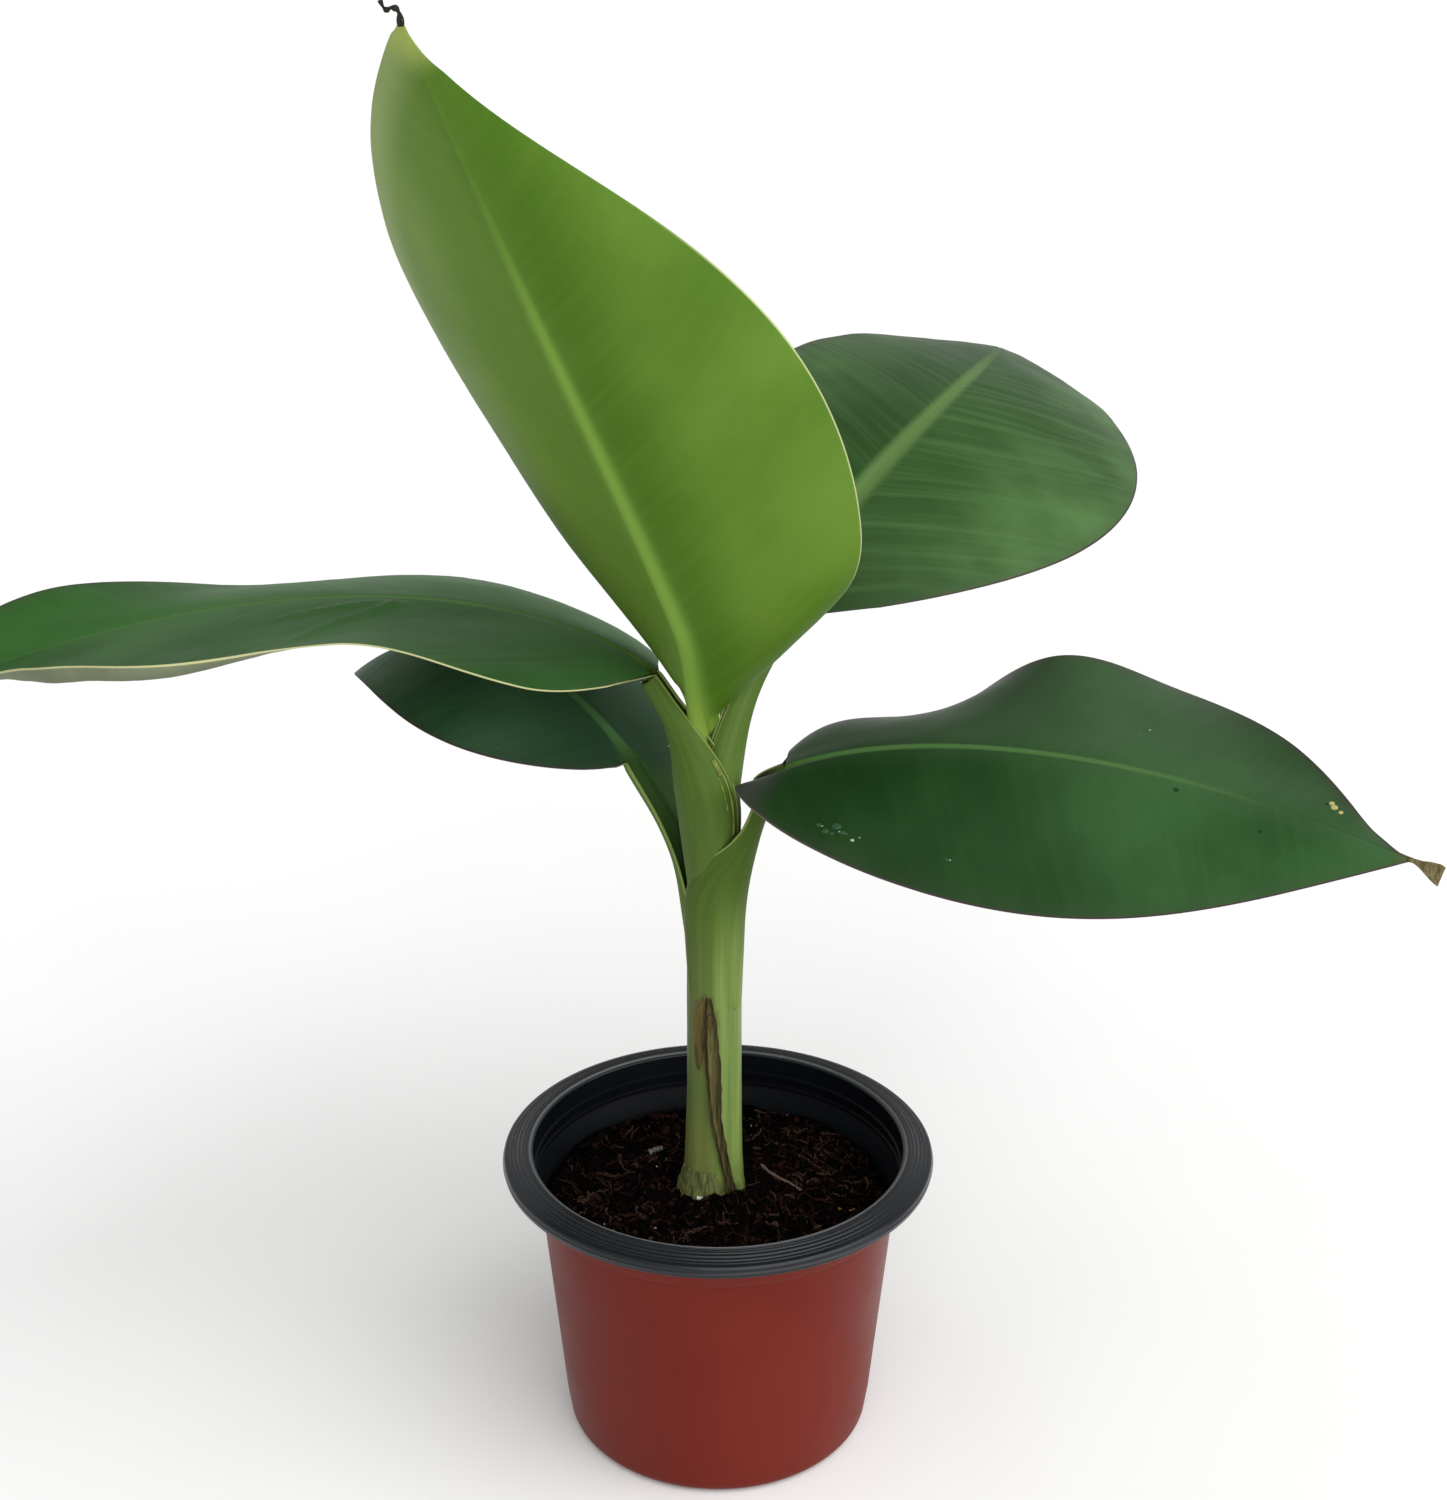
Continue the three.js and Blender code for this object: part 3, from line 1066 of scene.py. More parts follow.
    def half_surface(self, rows: Rows, half: HalfBlade, side: int, spread: Array) -> tuple:
        """One half of the leaf's upper face.

        Args:
            rows: Stations.
            half: Sizes of this half.
            side: -1 for the left half and 1 for the right.
            spread: Column places from 0 at the rib to 1 at the margin.

        Returns:
            Points, distances from the rib and from the margin, the rib's own edge, and blade distances.
        """
        share, reach = rows.share[:, None], self.half_width(rows, half)[:, None]
        along, across, normal = rows.along[:, None, :], rows.across[:, None, :], rows.normal[:, None, :]
        centre, radius, angle = rows.middle[:, None, :], rows.radius[:, None], rows.angle[:, None]
        arc, chord = radius * angle, radius * np.sin(angle)
        wide = np.maximum(0.0, reach - chord)
        length = spread[None, :] * (arc + wide)
        turn = np.minimum(length, arc) / radius
        channel = centre + (side * radius * np.sin(turn))[..., None] * across
        channel = channel - (radius * np.cos(turn))[..., None] * normal
        level = centre - (radius * np.cos(angle))[..., None] * normal
        opened = smooth(wide, 0.0, self.OPENING)
        calm = np.sqrt(np.maximum(0.0, np.sin(math.pi * share)))
        wave = half.wave * np.sin(math.tau * (self.waves * share + self.phase)) * calm * opened
        near_base = np.exp(-share / half.LOBE_REACH)
        slant = blend(half.slant, self.tip_slant, share) - half.lobe * near_base
        fold = blend(*half.fold, share) + half.lobe_lift * near_base

        def blade_at(distance: Array) -> Array:
            """Points of the blade at distances from its rib.

            Args:
                distance: Distances from the rib.

            Returns:
                The points.
            """
            place = np.clip(distance / np.maximum(reach, 1e-9), 0.0, 1.0)
            lift = np.radians(fold + blend(*half.curl, share) * place / 2) * opened
            rise = distance * np.sin(lift) + wave * place**1.5
            out = (side * distance * np.cos(lift))[..., None] * across
            return level + out + rise[..., None] * normal + (distance * slant * opened)[..., None] * along

        distance = chord + np.maximum(0.0, length - arc)
        rim = blade_at(chord + 0.0 * length) - level - (side * chord)[..., None] * across
        pulled = channel + ((turn / angle) ** 2)[..., None] * rim
        points = np.where((length <= arc)[..., None], pulled, blade_at(distance))
        margin = arc + wide - length
        if half.roll:
            points = self.rolled(points, half.roll, rows, margin)
        return points, length, margin, arc + 0.0 * length, np.where(length <= arc, 0.0, distance)

    def rolled(self, points: Array, roll: EdgeRoll, rows: Rows, margin: Array) -> Array:
        """Roll the margin of a half upwards.

        Args:
            points: Points of the half.
            roll: Where and how far it rolls.
            rows: Stations.
            margin: Distance of each point from the margin.

        Returns:
            The points after the roll.
        """
        angle = np.maximum(math.radians(roll.angle) * roll.strength(rows.share), 1e-4)[:, None]
        past = np.maximum(0.0, roll.width - margin)
        bend = roll.width / angle
        outward = unit(np.gradient(points, axis=1))
        upward = unit(np.cross(outward, rows.along[:, None, :]))
        upward = upward * np.sign(np.sum(upward * rows.normal[:, None, :], -1, keepdims=True))
        inward = (bend * np.sin(past / bend) - past)[..., None] * outward
        return points + inward + (bend * (1.0 - np.cos(past / bend)))[..., None] * upward

    def veins(self, run: Array, out: Array, signs: Array) -> Array:
        """A number in millimetres that grows from one side vein to the next, with uneven spacing.

        Args:
            run: Distance along the rib, in millimetres.
            out: Distance from the rib, in millimetres.
            signs: -1 on the left half and 1 on the right.

        Returns:
            The number at each point.
        """
        plain = run - self.VEIN_LEAN * out - self.VEIN_BOW * (out / self.VEIN_BOW_AT) ** 2
        place = np.stack([plain / self.VEIN_SPACING, 2.0 * signs + 0.0 * plain, out / self.VEIN_DRIFT], -1)
        return plain + self.VEIN_WANDER * grain(place, 1.0, self.seed + 20.0)

    def build(self, stem: "Pseudostem") -> Piece:
        """Build and dress the leaf.

        Args:
            stem: Stem that the sheath wraps.

        Returns:
            The leaf's object.
        """
        rows = self.rows(stem)
        even = np.linspace(0.0, 1.0, self.COLUMNS // 2 + 1)
        spread = 0.6 * (1.0 - np.cos(math.pi * even)) / 2 + 0.4 * even**1.2
        right = self.half_surface(rows, self.right, Half.RIGHT.value, spread)
        left = self.half_surface(rows, self.left, Half.LEFT.value, spread)
        points, length, margin, arc, distance = (
            np.concatenate([b[:, :0:-1], a], axis=1) for a, b in zip(right, left)
        )
        signs = np.sign(np.arange(self.COLUMNS + 1) - self.COLUMNS // 2)[None, :]
        out = distance * PER_MM
        vein = self.veins(rows.share[:, None] * self.blade * PER_MM + 0 * out, out, signs)
        normal = unit(np.cross(np.gradient(points, axis=1), np.gradient(points, axis=0)))
        loose = smooth(distance, *self.LOOSE_FROM_RIB) * smooth(rows.share[:, None], 0.0, 0.05)
        place = np.stack([vein / self.RIPPLE_SIZE[0], signs * out / self.RIPPLE_SIZE[1], 0 * out], -1)
        relief = self.ripple * (grain(place, 1.0, self.seed) + 0.5 * grain(place, 2.7, self.seed + 5.0))
        lines = np.stack([vein / self.PLEAT_SIZE[0], out / self.PLEAT_SIZE[1], 3.0 * signs + 0 * out], -1)
        pleats = grain(lines, 1.0, self.seed + 9.0) * smooth(margin, 0.0, self.PLEAT_MARGIN)
        relief = relief + self.vein_relief * pleats
        for crease in self.creases:
            relief = relief + crease.lift(rows.share[:, None] * self.blade, signs * distance, self.blade)
        points = points + (loose * relief)[..., None] * normal
        normal = unit(np.cross(np.gradient(points, axis=1), np.gradient(points, axis=0)))
        round_off = np.cos(0.5 * math.pi * np.minimum(1.0, length / (self.KEEL_REACH * arc))) ** 2
        thick = rows.edge[:, None] + (rows.keel - rows.edge)[:, None] * round_off
        under = points - thick[..., None] * normal
        sheet = grid_sheet(self.COLUMNS, len(rows.mark) - 1)
        column, row, top = sheet_indices(sheet, self.COLUMNS, len(rows.mark) - 1)
        move_to(sheet, np.where(top[:, None], points[row, column], under[row, column]))
        finishes = [self.upper.material(self.name + "_upper"), self.lower.material(self.name + "_lower")]
        leaf = add_piece(self.name + "_blade", sheet, finishes, (self.name,))
        across = signs * np.minimum(length / arc, 6.0)
        marks = np.stack([rows.mark[:, None] + 0 * out, across, margin * PER_MM], -1)
        store(leaf.data, "leaf_place", marks[row, column])
        store(leaf.data, "vein_place", np.stack([vein, signs * out, 0 * out], -1)[row, column])
        return leaf


@dataclass(frozen=True)
class Pseudostem:
    """The trunk: a column of old sheaths with a flare at the soil."""

    heights: tuple = mm(78, 83, 92, 120, 155, 175, 200, 236)
    radii: tuple = mm(12.2, 11.2, 9.6, 8.8, 8.75, 8.6, 6.8, 3.6)
    leans: tuple = mm(-2.4, -2.1, -1.5, -1.2, -1.2, -1.2, -1.8, -3.5)
    sides: int = 96
    rings: int = 220

    RADIUS_STEPS = 400
    RADIUS_WINDOW = 41
    LINE_DEPTHS = mm(0.10, 0.06)
    LINE_SCALES = (9.0, 22.0)
    FLARE = mm(82, 96)
    WRINKLE = 0.55 * MM
    WRINKLE_SCALE = 260.0

    def axis(self, height: Array) -> Array:
        """Middle of the stem at heights."""
        lean = np.interp(height, self.heights, self.leans)
        return np.stack([lean, 0.0 * height, height], -1)

    def radius(self, height: Array) -> Array:
        """Smooth radius of the stem.

        Args:
            height: Heights.

        Returns:
            The radius at each height.
        """
        fine = np.linspace(self.heights[0], self.heights[-1], self.RADIUS_STEPS)
        plain = np.interp(fine, self.heights, self.radii)
        window = np.hanning(self.RADIUS_WINDOW)
        padded = np.pad(plain, self.RADIUS_WINDOW // 2, mode="edge")
        eased = np.convolve(padded, window / window.sum(), mode="valid")
        return np.interp(height, fine, eased)

    def skin(self, angle: Array, height: Array, stand: Array) -> Array:
        """Points on the stem's skin.

        Args:
            angle: Direction round the axis, in radians.
            height: Height of each point.
            stand: Distance off the skin.

        Returns:
            The points.
        """
        reach = self.radius(height) + stand
        out = np.stack([np.cos(angle), np.sin(angle), 0.0 * angle], -1)
        return self.axis(height) + reach[..., None] * out

    def relief(self, angle: Array, height: Array) -> Array:
        """Lengthwise lines of the sheaths and wrinkles at the flare.

        Args:
            angle: Direction round the axis, in radians.
            height: Height of each point.

        Returns:
            The height of the relief.
        """
        ring = np.stack([np.cos(angle), np.sin(angle), height * 3.0], -1)
        lines = self.LINE_DEPTHS[0] * grain(ring, self.LINE_SCALES[0], 3.0)
        lines = lines + self.LINE_DEPTHS[1] * grain(ring, self.LINE_SCALES[1], 7.0)
        crumple = np.stack([2.0 * np.cos(angle), 2.0 * np.sin(angle), height * self.WRINKLE_SCALE], -1)
        foot = 1.0 - smooth(height, *self.FLARE)
        return lines + self.WRINKLE * foot * grain(crumple, 1.0, 11.0)

    def build(self, finish: Material) -> Piece:
        """Build and dress the column.

        Args:
            finish: Material of the sheaths.

        Returns:
            The stem's object.
        """
        column, angle, share = wrapped_grid(self.sides, self.rings)
        height = blend(self.heights[0], self.heights[-1], share)
        move_to(column, self.skin(angle, height, self.relief(angle, height)))
        weld(column)
        close_ends(column)
        return add_piece("pseudostem_column", column, [finish], ("pseudostem",))


@dataclass(frozen=True)
class SheathScrap:
    """A scrap of old sheath that lies on the stem: a strip that climbs it, with ragged curled edges."""

    name: str
    finish: "DryFinish"
    heights: tuple
    bearings: tuple
    half_widths: tuple
    stand: float = 0.45 * MM
    lift: float = 0.7 * MM
    ragged: float = 0.25
    folds: tuple = (2.0, 220.0)
    fold_depth: float = 0.25 * MM
    thickness: float = 0.35 * MM
    columns: int = 14
    rows: int = 90
    seed: float = 2.0

    JAG_SCALE = 300.0

    def build(self, stem: Pseudostem) -> Piece:
        """Build and dress the scrap.

        Args:
            stem: Stem that it lies on.

        Returns:
            The scrap's object.
        """
        finish = self.finish.material()
        sheet = grid_sheet(self.columns, self.rows)
        column, row, top = sheet_indices(sheet, self.columns, self.rows)
        across = 2.0 * column / self.columns - 1.0
        height = blend(self.heights[0], self.heights[-1], row / self.rows)
        bearing = np.radians(np.interp(height, self.heights, self.bearings))
        half = np.interp(height, self.heights, self.half_widths)
        jag = np.stack([np.sign(across) * 3.0, height * self.JAG_SCALE, 0.0 * height], -1)
        half = half * (1.0 + self.ragged * grain(jag, 1.0, self.seed))
        wrinkle = np.stack([across * self.folds[0], height * self.folds[1], 0.0 * height], -1)
        stand = self.stand + self.lift * across**4 + self.fold_depth * grain(wrinkle, 1.0, self.seed + 3.0)
        stand = stand - np.where(top, 0.0, self.thickness)
        angle = bearing + across * half / stem.radius(height)
        move_to(sheet, stem.skin(angle, height, stand))
        face_out(sheet)
        return add_piece(self.name, sheet, [finish, finish])


@dataclass(frozen=True)
class StemFinish:
    """Finish of the sheaths on the trunk: yellow-green with fine lengthwise lines."""

    tint: SheathTint = SheathTint()
    stain: Colour = (0.06, 0.04, 0.012)
    bruise: Colour = (0.075, 0.060, 0.014)
    roughness: float = 0.5
    specular: float = 0.25

    BRUISE_LEFT = mm(-10, -5)
    BRUISE_RIGHT = mm(-2, 2)
    BRUISE_FROM = mm(122, 142)
    DIRT_TO = mm(82, 98)
    SOIL_LINE = mm(79, 88)
    SOIL_SHARE = 0.8

    def material(self) -> Material:
        """Build the finish as a material.

        Returns:
            The material.
        """
        graph = Graph("stem_sheath")
        lines = self.tint.lines(graph)
        colour = self.tint.colour(graph, lines)
        aside, _, height = graph.split(graph.place())
        beside = graph.times(graph.band(aside, *self.BRUISE_LEFT), graph.fall(aside, *self.BRUISE_RIGHT))
        beside = graph.times(beside, graph.band(height, *self.BRUISE_FROM))
        streaks = graph.band(graph.noise(420.0, 3.0, graph.place((1.0, 1.0, 0.12))), 0.32, 0.62)
        colour = graph.mix(graph.times(beside, streaks), colour, self.bruise)
        low = graph.fall(height, *self.DIRT_TO)
        dirty = graph.times(low, graph.band(graph.noise(160.0, 4.0), 0.35, 0.6))
        soiled = graph.times(graph.fall(height, *self.SOIL_LINE), self.SOIL_SHARE)
        dirty = graph.math("MAXIMUM", dirty, soiled)
        colour = graph.mix(dirty, colour, self.stain)
        relief = graph.bump(lines, 0.15 * MM, 0.5)
        relief = graph.bump(graph.noise(700.0, 2.0), 0.05 * MM, 0.4, relief)
        return graph.finish(colour, self.roughness, self.specular, relief)


@dataclass(frozen=True)
class DryFinish:
    """Finish of dried sheath and tips: papery browns in lengthwise streaks."""

    name: str
    dark: Colour
    light: Colour
    roughness: float = 0.8
    specular: float = 0.25

    def material(self) -> Material:
        """Build the finish as a material.

        Returns:
            The material.
        """
        graph = Graph(self.name)
        streaks = graph.noise(1100.0, 4.0, graph.place((1.0, 1.0, 0.05)))
        colour = graph.mix(graph.band(streaks, 0.3, 0.72), self.dark, self.light)
        relief = graph.bump(streaks, 0.2 * MM, 0.7)
        return graph.finish(colour, self.roughness, self.specular, relief)


@dataclass(frozen=True)
class MarkFinish:
    """Finish of drops and specks on a leaf."""

    name: str
    colour: Colour
    roughness: float
    specular: float

    PALER = 1.3

    def material(self) -> Material:
        """Build the finish as a material.

        Returns:
            The material.
        """
        graph = Graph(f"mark_{self.name}")
        pale = tuple(min(1.0, self.PALER * part) for part in self.colour)
        colour = graph.mix(graph.noise(1200.0, 2.0), self.colour, pale)
        return graph.finish(colour, self.roughness, self.specular)


@dataclass(frozen=True)
class PotFinish:
    """Finish of moulded pot plastic: an even colour with faint clouds, scuffs and a fine skin."""

    name: str
    colour: Colour
    worn: Colour
    roughness: float
    scuffs: float
    specular: float

    CLOUD_SHARE = 0.35
    ROUGH_SPREAD = (0.05, 0.12)

    def material(self) -> Material:
        """Build the finish as a material.

        Returns:
            The material.
        """
        graph = Graph(self.name)
        cloud = graph.band(graph.noise(22.0, 5.0), 0.3, 0.75)
        colour = graph.mix(graph.times(cloud, self.CLOUD_SHARE), self.colour, self.worn)
        rub = graph.band(graph.noise(240.0, 3.0, graph.place((1.0, 1.0, 0.12))), 0.66, 0.78)
        colour = graph.mix(graph.times(rub, self.scuffs), colour, self.worn)
        rings = graph.noise(900.0, 2.0, graph.place((0.02, 0.02, 1.0)))
        relief = graph.bump(rings, 0.04 * MM, 0.35)
        relief = graph.bump(graph.noise(1400.0, 2.0), 0.03 * MM, 0.4, relief)
        smoother, rougher = self.ROUGH_SPREAD
        rough = graph.span(cloud, self.roughness - smoother, self.roughness + rougher)
        return graph.finish(colour, rough, self.specular, relief)


@dataclass(frozen=True)
class Pot:
    """A round nursery pot: tapered red body, and a black rim and inside."""

    height: float = 100 * MM
    wall: float = 1.2 * MM
    floor: float = 1.6 * MM
    base_radius: float = 50.5 * MM
    base_rounding: float = 4 * MM
    shoulder_radius: float = 58.5 * MM
    shoulder_height: float = 84 * MM
    collar_radius: float = 61.5 * MM
    collar_foot: float = 86.5 * MM
    mouth_radius: float = 60.5 * MM
    rim_radius: float = 70.2 * MM
    rim_drop: float = 5.2 * MM
    rim_crown: float = 1.2 * MM
    lip_rounding: float = 0.7 * MM
    bead: float = 0.55 * MM
    ridge: float = 0.26 * MM
    ridge_places: tuple = (0.06, 0.24, 0.42, 0.6, 0.76)
    steps: int = 160
    drain_count: int = 6
    drain_radius: float = 4 * MM
    drain_ring: float = 36 * MM
    ledges: tuple = mm(92.5, 88.5)

    COLLAR_EASE = 0.8 * MM
    COLLAR_STEP = 1.0 * MM
    COLLAR_FLARE = 0.3 * MM
    RIM_ROOT = 1.2 * MM
    SKIRT_PLACE = 0.65
    SKIRT_RIDGE = 0.4 * MM
    CROWN_END = 80.0
    RIM_OUTSET = 0.6 * MM
    RIM_INSET = 0.1 * MM
    RIDGE_WIDTH = 0.035
    BEAD_PLACE = 0.93
    BEAD_WIDTH = 0.06
    LEDGE_OUT = 0.1 * MM
    LEDGE_DEPTH = 0.55 * MM
    LEDGE_HALVES = mm(0.9, 0.5)
    LEDGE_FOOT = 0.2 * MM
    SHARP_ANGLE = 50.0
    LIP_HIGHLIGHT_EDGE = mm(0.4, 1.5)

    def arc(self, centre: tuple, radius: float, start: float, end: float, steps: int = 6) -> list:
        """Points of an arc in the profile, as radius and height, between two angles in degrees."""
        turns = np.radians(np.linspace(start, end, steps + 1))
        return [(centre[0] + radius * math.cos(a), centre[1] + radius * math.sin(a)) for a in turns]

    def inner_radius(self, height: float) -> float:
        """Radius of the inner wall below the collar."""
        return blend(self.base_radius, self.shoulder_radius, height / self.shoulder_height) - self.wall

    def profile(self) -> tuple[list, int]:
        """Half section of the pot, from the middle of its underside to the middle of its floor.

        Returns:
            Points as radius and height, and the number of points on the red outside.
        """
        corner = (self.base_radius - self.base_rounding, self.base_rounding)
        under = self.height - self.rim_crown - self.wall
        lip = self.rim_radius - self.lip_rounding
        foot = self.height - self.rim_drop + self.lip_rounding
        outside = [(0.0, 0.0), (self.base_radius * 0.5, 0.0)]
        outside += self.arc(corner, self.base_rounding, -90.0, 0.0)
        taper = np.linspace(self.base_rounding, self.shoulder_height, 12)[1:]
        outside += [(self.inner_radius(z) + self.wall, z) for z in taper]
        outside += [(self.collar_radius - self.COLLAR_EASE, self.collar_foot - self.COLLAR_STEP)]
        outside += [(self.collar_radius, self.collar_foot)]
        outside += [(self.collar_radius + self.COLLAR_FLARE, under - self.COLLAR_STEP)]
        black = [(self.collar_radius + self.RIM_ROOT, under), (lip - self.wall, under)]
        black += [(lip - self.lip_rounding, foot)]
        black += self.arc((lip, foot), self.lip_rounding, -180.0, 0.0)
        skirt = self.height - self.SKIRT_PLACE * self.rim_drop
        black += [(self.rim_radius, skirt - self.SKIRT_RIDGE), (self.rim_radius + self.ridge, skirt)]
        black += [(self.rim_radius, skirt + self.SKIRT_RIDGE)]
        crown = (self.rim_radius - self.rim_crown, self.height - 2 * self.rim_crown)
        black += self.arc(crown, self.rim_crown, 0.0, self.CROWN_END)
        black += self.ridges()
        mouth = (self.mouth_radius + self.lip_rounding, self.height - self.lip_rounding)
        black += self.arc(mouth, self.lip_rounding, 90.0, 180.0)
        black += self.inside()
        return outside + black, len(outside)

    def ridges(self) -> list:
        """The rim's top with its fine ridges and a bead along the mouth.

        Returns:
            Points as radius and height.
        """
        outer = self.rim_radius - self.rim_crown - self.RIM_OUTSET
        inner = self.mouth_radius + self.lip_rounding + self.RIM_INSET
        crown = self.height - self.rim_crown
        points = []
        for share in np.linspace(0.0, 1.0, 73):
            radius = blend(outer, inner, share)
            slope = blend(crown, self.height, smooth(share, 0.0, 0.7))
            lift = sum(math.exp(-(((share - place) / self.RIDGE_WIDTH) ** 2)) for place in self.ridge_places)
            bead = math.exp(-(((share - self.BEAD_PLACE) / self.BEAD_WIDTH) ** 2))
            points.append((radius, slope + self.ridge * lift + self.bead * bead))
        return points

    def inside(self) -> list:
        """The black inside, from the mouth down over two ledges to the floor.

        Returns:
            Points as radius and height.
        """
        wall = self.collar_radius - self.wall
        foot, edge = self.LEDGE_HALVES
        points = []
        for level in self.ledges:
            points += [(wall + self.LEDGE_OUT, level + foot), (wall - self.LEDGE_DEPTH, level + edge)]
            points += [(wall - self.LEDGE_DEPTH, level - edge), (wall, level - foot)]
        points += [(wall - self.LEDGE_FOOT, self.collar_foot + self.wall / 2)]
        slope = np.linspace(self.shoulder_height, self.base_rounding, 8)
        points += [(self.inner_radius(z), z) for z in slope]
        return points + [(self.base_radius - self.base_rounding, self.floor), (0.0, self.floor)]

    def build(self, finishes: list) -> Piece:
        """Build and dress the pot.

        Args:
            finishes: Materials of the outside, the rim, the inside and the painted highlight along the
                mouth's lip.

        Returns:
            The pot's object.
        """
        points, red_points = self.profile()
        shape = bmesh.new()
        ring = [shape.verts.new((radius, 0.0, height)) for radius, height in points]
        edges = [shape.edges.new(pair) for pair in zip(ring, ring[1:])]
        bmesh.ops.spin(
            shape, geom=ring + edges, cent=(0, 0, 0), axis=(0, 0, 1), angle=math.tau,
            steps=self.steps, use_merge=True,
        )
        weld(shape)
        face_out(shape)
        limit = points[red_points - 1][1] + 0.1 * MM
        for face in shape.faces:
            centre = face.calc_center_median()
            on_rim = centre.z > limit or centre.xy.length > self.collar_radius + 0.6 * MM
            outward = face.normal.x * centre.x + face.normal.y * centre.y > 0 or face.normal.z < -0.9
            inside = centre.z > self.floor * 0.5 and not outward
            away = centre.xy.length - self.mouth_radius
            part = PotFace.RIM if inside or on_rim else PotFace.OUTSIDE
            # The inner wall gets a darker black than the rim: painted shade
            if inside and away < 0.1 * MM and centre.z < self.height - 1.5 * MM:
                part = PotFace.INSIDE
            # A pale band just outside the mouth's edge is a painted highlight
            if self.LIP_HIGHLIGHT_EDGE[0] < away < self.LIP_HIGHLIGHT_EDGE[1] and centre.z > self.height:
                part = PotFace.LIP_HIGHLIGHT
            face.material_index = part.value
        pot = add_piece("nursery_pot", shape, finishes, ("pot",))
        pot.data.set_sharp_from_angle(angle=math.radians(self.SHARP_ANGLE))
        self.drill(pot)
        return pot

    def drill(self, pot: Piece) -> None:
        """Cut the drain holes through the floor.

        Args:
            pot: The pot's object, which gets a new mesh.
        """
        drills = bmesh.new()
        for number in range(self.drain_count):
            angle = (number + 0.5) / self.drain_count * math.tau
            place = (self.drain_ring * math.cos(angle), self.drain_ring * math.sin(angle), 0.0)
            bmesh.ops.create_cone(
                drills, cap_ends=True, segments=24, radius1=self.drain_radius, radius2=self.drain_radius,
                depth=5 * self.floor, matrix=Matrix.Translation(place),
            )
        mesh = bpy.data.meshes.new("drills")
        drills.to_mesh(mesh)
        drills.free()
        cutter = bpy.data.objects.new("drills", mesh)
        bpy.context.scene.collection.objects.link(cutter)
        cut = pot.modifiers.new("drain", "BOOLEAN")
        cut.operation = "DIFFERENCE"
        cut.solver = "EXACT"
        cut.object = cutter
        graph = bpy.context.evaluated_depsgraph_get()
        drilled = bpy.data.meshes.new_from_object(pot.evaluated_get(graph))
        pot.modifiers.clear()
        plain = pot.data
        pot.data = drilled
        bpy.data.meshes.remove(plain)
        bpy.data.objects.remove(cutter)
        bpy.data.meshes.remove(mesh)


@dataclass(frozen=True)
class MixFinish:
    """Finish of one kind of bit in the potting mix: a plain colour with a rough skin."""

    name: str
    colour: Colour
    light: Colour
    roughness: float = 0.9
    specular: float = 0.03

    def material(self) -> Material:
        """Build the finish as a material.

        Returns:
            The material.
        """
        graph = Graph(self.name)
        speckle = graph.noise(1500.0, 3.0)
        colour = graph.mix(graph.band(speckle, 0.35, 0.75), self.colour, self.light)
        relief = graph.bump(graph.noise(2200.0, 3.0), 0.2 * MM, 0.8)
        return graph.finish(colour, self.roughness, self.specular, relief)


